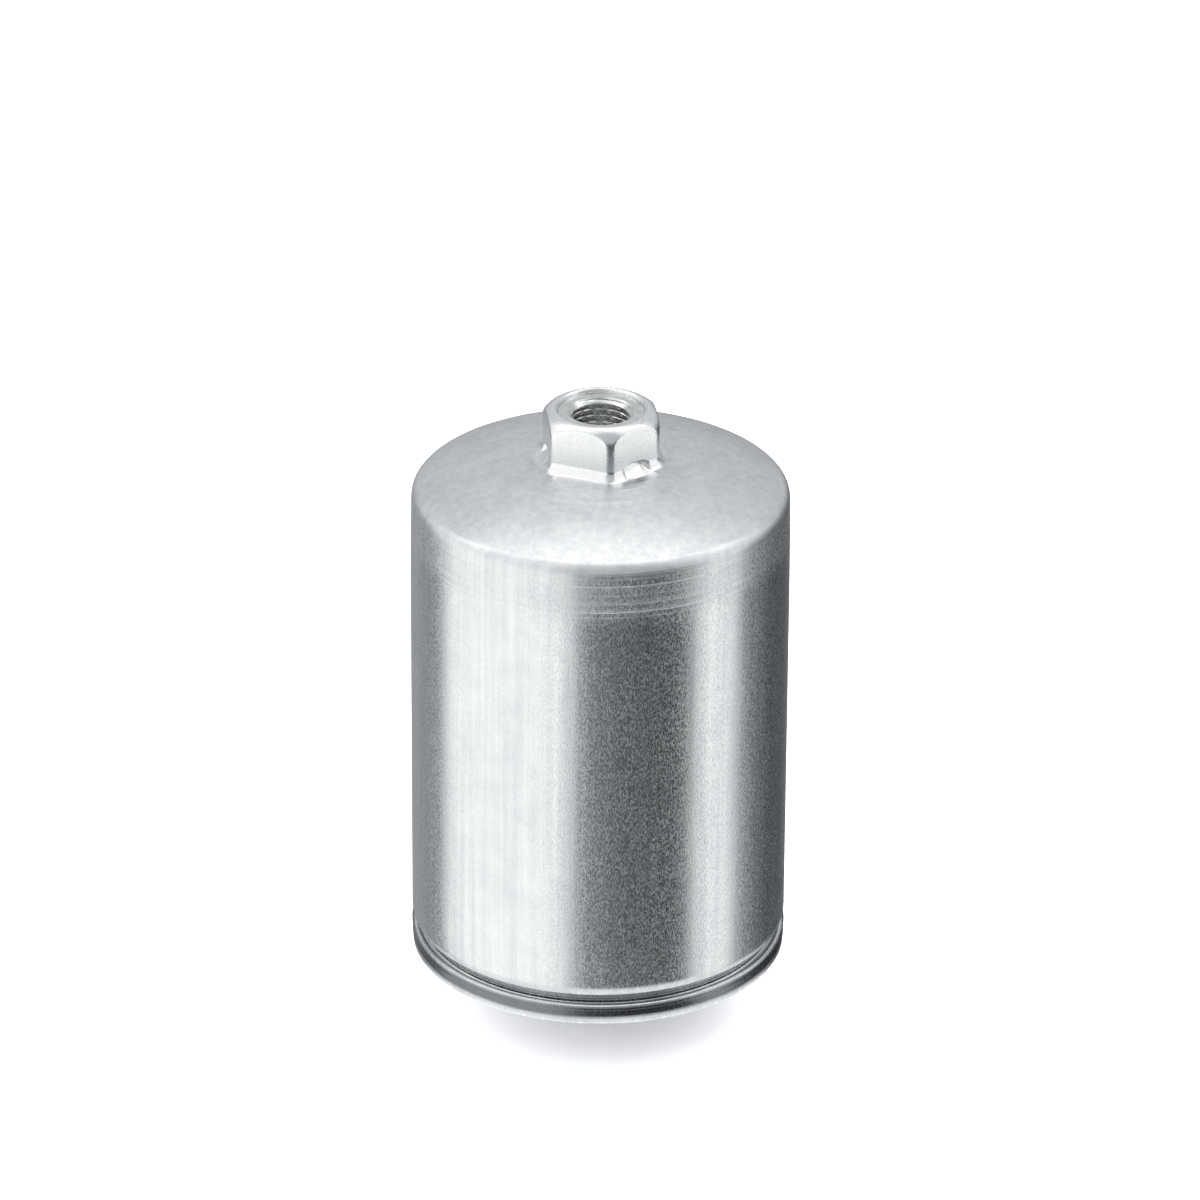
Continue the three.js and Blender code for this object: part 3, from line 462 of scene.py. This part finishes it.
bush_steel = turned_steel("zinc_plated_turned_steel", "#E4E5E3", "#CDCFCE", 0.24)
OUTLET_LIP = Matrix.Translation((0, 0, can_high.z))
bush_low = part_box("outlet_bush")[0].z / MM - can_high.z
SHANK = 9.0  # mm, radius
NOSE = 8.0  # mm, radius
NOSE_LENGTH = 12.0  # mm
BUSH_CHAMFER = 0.4  # mm
shoulder_low = bush_low + NOSE_LENGTH
outlet_below = [(NOSE - BUSH_CHAMFER, bush_low), (NOSE, bush_low + BUSH_CHAMFER), (NOSE, shoulder_low),
                (SHANK - BUSH_CHAMFER, shoulder_low), (SHANK, shoulder_low + BUSH_CHAMFER), (SHANK, HEX_FOOT)]
mesh = bmesh.new()
ringed(mesh, bush_rings(CAN_SHEET, outlet_below), 96)
finished("outlet_bush_turned", mesh, bush_steel, "housing", ["outlet_bush"], OUTLET_LIP, 30)

# ---- O-rings -------------------------------------------------------------------------------------
# Moulded nitrile rubber of round section. One lies on the top of each bush's hexagon and is squeezed
# against the inside of the boss's lip when the bush is pushed home.
def limits(node):
    """Low and high corners of a CAD node's box, in mm."""
    return [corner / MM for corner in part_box(node)]


def spun(outline, corner=0.0, steps=96):
    """A ring turned round the axis from a closed outline of radius and height, its corners rounded."""
    made = bmesh.new()
    verts = [made.verts.new((r, 0, z)) for r, z in outline]
    made.faces.new(verts)
    if corner:
        off_axis = [vert for vert in verts if vert.co.x > corner]
        bmesh.ops.bevel(made, geom=off_axis, offset=corner, segments=3, profile=0.5, affect="VERTICES",
                        material=-1)
    bmesh.ops.delete(made, geom=made.faces[:], context="FACES_ONLY")
    bmesh.ops.spin(made, geom=made.verts[:] + made.edges[:], cent=(0, 0, 0), axis=(0, 0, 1), dvec=(0, 0, 0),
                   angle=2 * math.pi, steps=steps, use_merge=True)
    return made


def moulded(name, light, dark, roughness, grain, metallic=0.0):
    """An even finish with a slight mottle, for moulded rubber, cured adhesive, paper and plain plating."""
    material = bpy.data.materials.new(name)
    material.use_nodes = True
    tree = material.node_tree
    shader = tree.nodes["Principled BSDF"]
    place = add(tree, "ShaderNodeTexCoord").outputs["Object"]
    mottle = add(tree, "ShaderNodeTexNoise", {"Vector": place, "Scale": 1 / grain, "Detail": 4.0})
    shade = add(tree, "ShaderNodeValToRGB", {"Fac": mottle.outputs["Fac"]})
    shade.color_ramp.elements[0].position = 0.3
    shade.color_ramp.elements[0].color = from_hex(dark)
    shade.color_ramp.elements[1].position = 0.7
    shade.color_ramp.elements[1].color = from_hex(light)
    rough = add(tree, "ShaderNodeMapRange", {"Value": mottle.outputs["Fac"], "To Min": roughness + 0.08,
                                             "To Max": roughness - 0.08})
    relief = add(tree, "ShaderNodeBump", {"Height": mottle.outputs["Fac"], "Strength": 0.3,
                                          "Distance": grain / 10})
    tree.links.new(shade.outputs["Color"], shader.inputs["Base Color"])
    tree.links.new(rough.outputs[0], shader.inputs["Roughness"])
    tree.links.new(relief.outputs["Normal"], shader.inputs["Normal"])
    shader.inputs["Metallic"].default_value = metallic
    return material


nitrile = moulded("black_nitrile_rubber", "#252628", "#161718", 0.55, 0.8 * MM)
for node in ("outlet_bush_seal", "inlet_bush_seal"):
    low, high = limits(node)
    half = (high.z - low.z) / 2
    turns = [2 * math.pi * i / 20 for i in range(20)]
    section = [(high.x - half + half * math.cos(t), low.z + half + half * math.sin(t)) for t in turns]
    finished(node + "_ring", spun(section), nitrile, "housing", [node], sharp=60)

# ---- Strainer ------------------------------------------------------------------------------------
# A disc of plain-woven brass wire held in the outlet bush's nose by a turned ring. The wires are
# really 0.1 mm thick and 0.25 mm apart, and are drawn at 0.22 mm and 0.8 mm so that they show.
GAUZE_PITCH = 0.8  # mm
gauze_low, gauze_high = limits("strainer_gauze")
gauze_radius = gauze_high.x
wire_radius = (gauze_high.z - gauze_low.z) / 4.4  # two wires cross, with a little to spare
middle = (gauze_low.z + gauze_high.z) / 2


def swept(mesh, points, radius, sides):
    """A round wire along points, closed at both ends."""
    frames = []
    for number, point in enumerate(points):
        ahead = points[min(number + 1, len(points) - 1)] - points[max(number - 1, 0)]
        frames.append(Matrix.Translation(point) @ ahead.to_track_quat("Z", "Y").to_matrix().to_4x4())
    end = bmesh.ops.create_circle(mesh, cap_ends=True, segments=sides, radius=radius, matrix=frames[0])
    verts = end["verts"]
    edges = list({edge for vert in verts for edge in vert.link_edges})
    for before, after in zip(frames, frames[1:]):
        grown = bmesh.ops.extrude_edge_only(mesh, edges=edges)["geom"]
        verts = [item for item in grown if isinstance(item, bmesh.types.BMVert)]
        edges = [item for item in grown if isinstance(item, bmesh.types.BMEdge)]
        edges = [edge for edge in edges if edge.verts[0] in verts and edge.verts[1] in verts]
        bmesh.ops.transform(mesh, matrix=after @ before.inverted(), verts=verts)
    bmesh.ops.contextual_create(mesh, geom=edges)


mesh = bmesh.new()
lines = int(gauze_radius / GAUZE_PITCH)
for along_x in (True, False):
    for line in range(-lines, lines + 1):
        offset = line * GAUZE_PITCH
        reach = math.sqrt(gauze_radius**2 - offset**2) - 0.1
        steps = max(4, round(2 * reach / (GAUZE_PITCH / 4)))
        points = []
        for i in range(steps + 1):
            run = -reach + 2 * reach * i / steps
            wave = math.cos(math.pi * (run / GAUZE_PITCH + line + (0 if along_x else 1)))
            place = (run, offset) if along_x else (offset, run)
            points.append(Vector((*place, middle + wave * wire_radius)))
        swept(mesh, points, wire_radius, 6)
brass = moulded("drawn_brass_wire", "#D9B978", "#B08D4E", 0.3, 0.5 * MM, 1.0)
finished("strainer_cloth", mesh, brass, "housing", ["strainer_gauze"], sharp=60)
low, high = limits("strainer_ring")
section = [(high.x - 1, low.z), (high.x, low.z), (high.x, high.z), (high.x - 1, high.z)]
finished("strainer_ring_turned", spun(section, 0.2), bush_steel, "housing", ["strainer_ring"])

# ---- Filter paper and its clip -------------------------------------------------------------------
# Resin-treated cellulose, creamy yellow, folded into 40 pleats round the core tube. Its two ends
# meet in one pleat, under a folded strip of plated steel.
PLEATS = 40
TIP_RADIUS = 0.65  # mm, of the outer folds, to the middle of the paper
ROOT_RADIUS = 0.5  # mm, of the inner folds
CORE_GAP = 0.5  # mm, between the core tube and the inner folds
paper_low, paper_high = limits("filter_paper")
core_low, core_high = limits("core_tube")
paper_sheet = 0.5  # mm, drawn; really 0.4 mm
tip = paper_high.x - paper_sheet / 2 - TIP_RADIUS
root = core_high.x + CORE_GAP + paper_sheet / 2 + ROOT_RADIUS
fold = []
for pleat in range(PLEATS):
    for centre, size, way, half_step in ((tip, TIP_RADIUS, 1, 0), (root, ROOT_RADIUS, -1, 0.5)):
        turned = Matrix.Rotation(2 * math.pi * (pleat + half_step) / PLEATS, 4, "Z")
        for degrees_round in range(-90, 91, 30):
            t = math.radians(degrees_round)
            fold.append(turned @ Vector((centre + way * size * math.cos(t), size * math.sin(t), paper_low.z)))
mesh = bmesh.new()
verts = [mesh.verts.new(point) for point in fold]
edges = [mesh.edges.new((verts[i - 1], verts[i])) for i in range(len(verts))]
grown = bmesh.ops.extrude_edge_only(mesh, edges=edges)["geom"]
top = [item for item in grown if isinstance(item, bmesh.types.BMVert)]
bmesh.ops.translate(mesh, vec=(0, 0, paper_high.z - paper_low.z), verts=top)
cellulose = moulded("resin_treated_paper", "#E3CE9A", "#CDB379", 0.85, 1.5 * MM)
paper = finished("pleated_paper", mesh, cellulose, "element", ["filter_paper"], sharp=50)
sheet = paper.modifiers.new("sheet", "SOLIDIFY")
sheet.thickness = paper_sheet * MM
sheet.offset = 0

CLIP_SHEET = 0.4  # mm
low, high = limits("pleat_clip")
mesh = bmesh.new()
outline = [(low.x, low.y), (high.x, low.y), (high.x, high.y), (low.x, high.y)]
verts = [mesh.verts.new((x, y, low.z)) for x, y in outline]
edges = [mesh.edges.new((verts[i], verts[i + 1])) for i in range(3)]
bmesh.ops.bevel(mesh, geom=verts[1:3], offset=0.9, segments=4, profile=0.5, affect="VERTICES", material=-1)
grown = bmesh.ops.extrude_edge_only(mesh, edges=mesh.edges[:])["geom"]
top = [item for item in grown if isinstance(item, bmesh.types.BMVert)]
bmesh.ops.translate(mesh, vec=(0, 0, high.z - low.z), verts=top)
plating = moulded("electro_plated_sheet", "#C9CBCC", "#AFB2B4", 0.32, 3 * MM, 1.0)
clip = finished("seam_clip", mesh, plating, "element", ["pleat_clip"], sharp=50)
sheet = clip.modifiers.new("sheet", "SOLIDIFY")
sheet.thickness = CLIP_SHEET * MM
sheet.offset = -1

# ---- Core tube, end caps and adhesive ------------------------------------------------------------
# The perforated tube inside the pleats is rolled from plated strip. Each end of the paper stands in
# grey plastisol that is poured into a pressed cap. A rubber grommet seals the upper cap on the nose.
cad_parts["core_tube"].material_slots[0].material = plating
ADHESIVE_LEDGE = 2.0  # mm, by which the plastisol reaches in past the core tube
plastisol = moulded("cured_plastisol", "#8F959B", "#7C8288", 0.6, 2 * MM)
for node in ("upper_adhesive", "lower_adhesive"):
    low, high = limits(node)
    inner_radius = core_high.x - ADHESIVE_LEDGE
    section = [(inner_radius, low.z), (high.x, low.z), (high.x, high.z), (inner_radius, high.z)]
    finished(node + "_ring", spun(section, 0.5), plastisol, "element", [node])
grommet_low, grommet_high = limits("outlet_grommet")
CAP_SHEET = 0.6  # mm
for node, hole in (("upper_end_cap", grommet_high.x + 0.3), ("lower_end_cap", 0)):
    low, high = limits(node)
    section = [(hole, 0), (high.x, 0), (high.x, high.z - low.z), (high.x - CAP_SHEET, high.z - low.z)]
    section += [(high.x - CAP_SHEET, CAP_SHEET), (hole, CAP_SHEET)]
    place = Matrix.Translation((0, 0, low.z))
    if hole:
        place = Matrix.Translation((0, 0, high.z)) @ Matrix.Rotation(math.pi, 4, "X")
    finished(node + "_pressed", spun(section, 0.22, 128), plating, "element", [node], place)
GROMMET_WIDTH = 3.0  # mm
GROOVE_DEPTH = 0.3  # mm, of the groove that the cap's hole seats in
GROOVE_HALF = 0.6  # mm, half of its height
middle = (grommet_low.z + grommet_high.z) / 2
outer, inner_radius = grommet_high.x, grommet_high.x - GROMMET_WIDTH
groove = outer - GROOVE_DEPTH
section = [(inner_radius, grommet_low.z), (outer, grommet_low.z), (outer, middle - GROOVE_HALF),
           (groove, middle - GROOVE_HALF), (groove, middle + GROOVE_HALF), (outer, middle + GROOVE_HALF),
           (outer, grommet_high.z), (inner_radius, grommet_high.z)]
finished("outlet_grommet_ring", spun(section, 0.12), nitrile, "element", ["outlet_grommet"])

# ---- Star, spring and support plate --------------------------------------------------------------
# The star is stamped from plated sheet, and its arms centre the element. The spring is coiled from
# 2 mm wire, its end coils lying flatter, and stands on a perforated plate on the cover's rim.
SPRING_TURNS = 3.5
SPRING_STEPS = 112
WIRE = 1.0  # mm, radius
COIL = 17.0  # mm, to the middle of the wire
for node in ("spring_star", "support_plate"):
    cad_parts[node].material_slots[0].material = plating
low, high = limits("element_spring")
points = []
for i in range(SPRING_STEPS + 1):
    share = i / SPRING_STEPS
    turn = 2 * math.pi * SPRING_TURNS * share
    climb = share - 0.25 * math.sin(2 * math.pi * share) / (2 * math.pi)
    height = low.z + WIRE + (high.z - low.z - 2 * WIRE) * climb
    points.append(Vector((COIL * math.cos(turn), COIL * math.sin(turn), height)))
mesh = bmesh.new()
swept(mesh, points, WIRE * 0.985, 14)  # a little thinner, to keep inside the frame's box
wire_steel = moulded("drawn_spring_wire", "#A7A9AB", "#8A8C8F", 0.35, 2 * MM, 1.0)
spring = finished("element_spring_coil", mesh, wire_steel, "housing", ["element_spring"],
                  sharp=60)
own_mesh(spring)

# ---- Seam gasket ---------------------------------------------------------------------------------
# A flat ring of moulded nitrile rubber. It lies between the can's flange and the cover's rim, and the
# curled seam squeezes it.
GASKET_WIDTH = 2.4  # mm
low, high = limits("seam_gasket")
inner_radius = high.x - GASKET_WIDTH
section = [(inner_radius, low.z), (high.x, low.z), (high.x, high.z), (inner_radius, high.z)]
finished("seam_gasket_ring", spun(section, 0.4, 128), nitrile, "housing", ["seam_gasket"])

# ---- End cover -----------------------------------------------------------------------------------
# Pressed from 1 mm tin-plated steel with the same boss as the can, turned over. Its rim is curled
# over the can's flange by the seaming rolls, which burnish it and leave a shallow groove round it.
# The groove's dark band is painted shade.
COVER_SHEET = 1.0  # mm
SEAM_HEIGHT = 5.5  # mm
COVER_TURN = math.radians(-17)  # of the lower boss about the axis
cover_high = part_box("end_cover")[1] / MM
seam = cover_high.x - 0.05  # mm, the seam's radius, kept inside the frame's box


def cover_rings():
    """The cover's outside from its boss to the end of the curl, with the lip at height 0."""
    dome_edge = seam - 4.9
    slope = math.radians(20)
    rings = drawn_end(dome_edge, slope)
    rim = -dome_depth(dome_edge, dome_edge, slope)
    top = rim - SEAM_HEIGHT + 0.5  # the curl's bead stops 0.5 mm short of the seam's height
    outline = [(dome_edge + 0.5, rim + 0.03), (dome_edge + 1.2, rim)]
    outline += arc(seam - 1.6, rim - 1.6, 1.6, 0, 62, 7)
    outline += [(seam - 0.12, rim - 2.3), (seam - 0.05, rim - 2.6), (seam - 0.12, rim - 2.9)]
    outline += [(seam - 0.22, rim - 3.3), (seam - 0.22, rim - 3.9), (seam - 0.1, rim - 4.3)]
    outline += arc(seam - 1.02, top + 0.95, 0.95, 80, 245, 14)
    return rings + [lambda a, r=r, z=z: (r, z) for r, z in outline]


COVER_UPRIGHT = 18.0  # mm, above the floor, where the cover's specks are wholly upright
COVER_ROUND = 15.5  # mm, where they are wholly round
SHADE_STRIPE_FOOT = 18.6  # mm, foot of the dark stripe painted on the seam, as shade in its groove
SHADE_STRIPE_TOP = 21.2  # mm
UNDERSIDE = 13.5  # mm, below which the cover's underside is painted darker, as shade
NO_BAND = 1.0  # m, above the whole filter
cover_steel = drawn_steel("pressed_tinplate", "#DDDEDF", "#C8CACC", COVER_UPRIGHT * MM, COVER_ROUND * MM,
                          NO_BAND, (SHADE_STRIPE_FOOT * MM, SHADE_STRIPE_TOP * MM), UNDERSIDE * MM)
INLET_LIP = Matrix.Rotation(COVER_TURN, 4, "Z") @ Matrix.Rotation(math.pi, 4, "X")
mesh = bmesh.new()
ringed(mesh, cover_rings(), 240)
cover = finished("cover_shell", mesh, cover_steel, "housing", ["end_cover"], INLET_LIP, 60)
sheet = cover.modifiers.new("sheet", "SOLIDIFY")
sheet.thickness = COVER_SHEET * MM
sheet.offset = -1
INLET_FOOT = -14.5  # mm, from the lip
inlet_below = [(SHANK - BUSH_CHAMFER, INLET_FOOT), (SHANK, INLET_FOOT + BUSH_CHAMFER), (SHANK, HEX_FOOT)]
mesh = bmesh.new()
ringed(mesh, bush_rings(COVER_SHEET, inlet_below), 96)
finished("inlet_bush_turned", mesh, bush_steel, "housing", ["inlet_bush"], INLET_LIP, 30)

# ---- Floor, light and camera ---------------------------------------------------------------------
# A plain white table and a soft studio: a large softbox to the left, a narrow one to the right, white
# overhead, and dark between them, which is what gives drawn steel its upright bands.
CAMERA_TURN = -8.6  # degrees about Z, from looking along +Y
CAMERA_RISE = 26.948  # degrees, of the camera seen from the middle of the filter
CAMERA_TILT = 26.262  # degrees below level
CAMERA_ROLL = 0.362  # degrees
CAMERA_DISTANCE = 1.711  # m
AIM_HEIGHT = 0.0775  # m
PATCH_RADIUS = 48 * MM
PATCH_DEPTH = 0.2 * MM  # below the floor, clear of the lip that stands on it
scene = bpy.context.scene
scene.view_settings.view_transform = "Standard"

floor_data = bpy.data.meshes.new("floor")
mesh = bmesh.new()
bmesh.ops.create_grid(mesh, x_segments=1, y_segments=1, size=6)
mesh.to_mesh(floor_data)
mesh.free()
floor = bpy.data.objects.new("floor", floor_data)
scene.collection.objects.link(floor)
floor_paint = bpy.data.materials.new("white_table")
floor_paint.use_nodes = True
tree = floor_paint.node_tree
matt = tree.nodes["Principled BSDF"]
matt.inputs["Base Color"].default_value = from_hex("#F2F3F5")
matt.inputs["Roughness"].default_value = 0.9
matt.inputs["Specular IOR Level"].default_value = 0.0
matt.inputs["Emission Color"].default_value = from_hex("#FFFFFF")
matt.inputs["Emission Strength"].default_value = 0.3
side = add(tree, "ShaderNodeNewGeometry").outputs["Backfacing"]
clear = add(tree, "ShaderNodeBsdfTransparent").outputs[0]
both = add(tree, "ShaderNodeMixShader", {0: side, 1: matt.outputs[0], 2: clear})
tree.links.new(both.outputs[0], tree.nodes["Material Output"].inputs["Surface"])
floor_data.materials.append(floor_paint)
floor.visible_glossy = False

# Steel reflects no floor, or its foot would be lost in white, but for this patch where it stands.
patch_data = bpy.data.meshes.new("floor_patch")
mesh = bmesh.new()
bmesh.ops.create_circle(mesh, cap_ends=True, segments=96, radius=PATCH_RADIUS)
mesh.to_mesh(patch_data)
mesh.free()
for vertex in patch_data.vertices:
    vertex.co.z = -PATCH_DEPTH
patch_data.materials.append(floor_paint)
patch = bpy.data.objects.new("floor_patch", patch_data)
scene.collection.objects.link(patch)
patch.visible_camera = False
patch.visible_diffuse = False
patch.visible_shadow = False

world = bpy.data.worlds.new("studio")
world.use_nodes = True
scene.world = world
tree = world.node_tree
towards = add(tree, "ShaderNodeTexCoord").outputs["Generated"]
way = add(tree, "ShaderNodeSeparateXYZ", {"Vector": towards})
level = add(tree, "ShaderNodeMath", {0: way.outputs["Z"]}, operation="ARCSINE")
height = add(tree, "ShaderNodeMapRange", {"Value": level.outputs[0], "From Min": -math.pi / 2,
                                          "From Max": math.pi / 2})
back = add(tree, "ShaderNodeMath", {0: way.outputs["Y"], 1: -1.0}, operation="MULTIPLY")
compass = add(tree, "ShaderNodeMath", {0: way.outputs["X"], 1: back.outputs[0]}, operation="ARCTAN2")
turn = add(tree, "ShaderNodeMath", {0: compass.outputs[0], 1: math.radians(-CAMERA_TURN)}, operation="ADD")
turn = add(tree, "ShaderNodeMath", {0: turn.outputs[0], 1: math.pi, 2: -math.pi}, operation="WRAP")
bearing = add(tree, "ShaderNodeMapRange", {"Value": turn.outputs[0], "From Min": -math.pi,
                                           "From Max": math.pi})


def ramp(fac, stops):
    """A colour ramp over stops of position and brightness."""
    made = add(tree, "ShaderNodeValToRGB", {"Fac": fac})
    elements = made.color_ramp.elements
    while len(elements) < len(stops):
        elements.new(0.5)
    for element, (position, value) in zip(elements, stops):
        element.position = position
        element.color = (value, value, value, 1)
    return made.outputs["Color"]


def at(degrees):
    """Where a bearing from the camera lies on the ramps. 0 is the camera's, and 90 is to its right."""
    return (degrees + 180) / 360


panels = ramp(bearing.outputs[0], [
    (at(-180), 0.25), (at(-150), 0.28), (at(-113), 0.16), (at(-105), 0.9), (at(-60), 0.92), (at(-19), 0.9),
    (at(-14), 0.2), (at(8), 0.08), (at(40), 0.04), (at(57), 0.07), (at(63), 0.88), (at(88), 0.86),
    (at(95), 0.2), (at(125), 0.05), (at(155), 0.08), (at(180), 0.25)])
dimmer = ramp(bearing.outputs[0], [
    (at(-180), 0.5), (at(-130), 0.46), (at(-105), 0.78), (at(-40), 0.85), (at(-15), 0.45),
    (at(50), 0.36), (at(65), 0.85), (at(95), 0.75), (at(130), 0.45), (at(180), 0.5)])
# Above the horizon the bands fade into a paler wall, and overhead is a long softbox, across the view.
risen = ramp(height.outputs[0], [(0.0, 0.0), (0.46, 0.0), (0.58, 1.0), (1.0, 1.0)])
walls = add(tree, "ShaderNodeMix", {"Factor": risen, 6: panels, 7: dimmer}, data_type="RGBA")
straight = add(tree, "ShaderNodeVectorRotate", {"Vector": towards, "Angle": math.radians(-CAMERA_TURN)},
               rotation_type="Z_AXIS")
across = add(tree, "ShaderNodeSeparateXYZ", {"Vector": straight.outputs[0]})
pitch = add(tree, "ShaderNodeMath", {0: across.outputs["Y"], 1: across.outputs["Z"]}, operation="ARCTAN2")
near = add(tree, "ShaderNodeMapRange", {"Value": pitch.outputs[0], "From Min": 0.52, "From Max": 0.36},
           interpolation_type="SMOOTHSTEP")
far = add(tree, "ShaderNodeMapRange", {"Value": pitch.outputs[0], "From Min": 0.05, "From Max": 0.22},
          interpolation_type="SMOOTHSTEP")
above = add(tree, "ShaderNodeMapRange", {"Value": across.outputs["Z"], "From Min": 0.35, "From Max": 0.7},
            interpolation_type="SMOOTHSTEP")
strip = add(tree, "ShaderNodeMath", {0: near.outputs[0], 1: far.outputs[0]}, operation="MULTIPLY")
softbox = add(tree, "ShaderNodeMath", {0: strip.outputs[0], 1: above.outputs[0]}, operation="MULTIPLY")
ceiling = add(tree, "ShaderNodeMix", {"Factor": softbox.outputs[0], 6: walls.outputs[2],
                                      7: (1.5, 1.5, 1.5, 1)}, data_type="RGBA")
ground = ramp(height.outputs[0], [(0.0, 1.0), (0.26, 1.0), (0.31, 0.0), (1.0, 0.0)])
blend = add(tree, "ShaderNodeMix", {"Factor": ground, 6: ceiling.outputs[2], 7: (0.75, 0.75, 0.75, 1)},
            data_type="RGBA")
# What is dark is a little blue, and what is bright is neutral.
tint = add(tree, "ShaderNodeMix", {"Factor": blend.outputs[2], 6: (1.3, 1.36, 1.44, 1),
                                   7: (1.42, 1.42, 1.42, 1)}, data_type="RGBA")
light = add(tree, "ShaderNodeMix", {"Factor": 1.0, 6: blend.outputs[2], 7: tint.outputs[2]}, data_type="RGBA",
            blend_type="MULTIPLY")
# Behind the filter the room is plain white.
seen = add(tree, "ShaderNodeLightPath").outputs["Is Camera Ray"]
shown = add(tree, "ShaderNodeMix", {"Factor": seen, 6: light.outputs[2], 7: (1, 1, 1, 1)}, data_type="RGBA")
tree.links.new(shown.outputs[2], tree.nodes["Background"].inputs["Color"])

lamp_data = bpy.data.lights.new("overhead", "AREA")
lamp_data.shape = "DISK"
lamp_data.size = 6
lamp_data.energy = 150
lamp = bpy.data.objects.new("overhead", lamp_data)
scene.collection.objects.link(lamp)
lamp.location = (-0.2, 0.1, 1.6)
lamp.rotation_euler = (0, -0.12, 0)
lamp.visible_glossy = False
lamp.visible_camera = False

camera_data = bpy.data.cameras.new("camera")
camera_data.lens = 232.78
camera_data.sensor_width = 36
camera_data.clip_end = 20
camera = bpy.data.objects.new("camera", camera_data)
scene.collection.objects.link(camera)
turned = Matrix.Rotation(math.radians(CAMERA_TURN), 4, "Z")
rise = math.radians(CAMERA_RISE)
stand = turned @ Vector((0, -CAMERA_DISTANCE * math.cos(rise), CAMERA_DISTANCE * math.sin(rise)))
tilt = Matrix.Rotation(math.radians(90 - CAMERA_TILT), 4, "X")
roll = Matrix.Rotation(math.radians(CAMERA_ROLL), 4, "Z")
camera.matrix_world = Matrix.Translation(stand + Vector((0, 0, AIM_HEIGHT))) @ turned @ tilt @ roll
scene.camera = camera
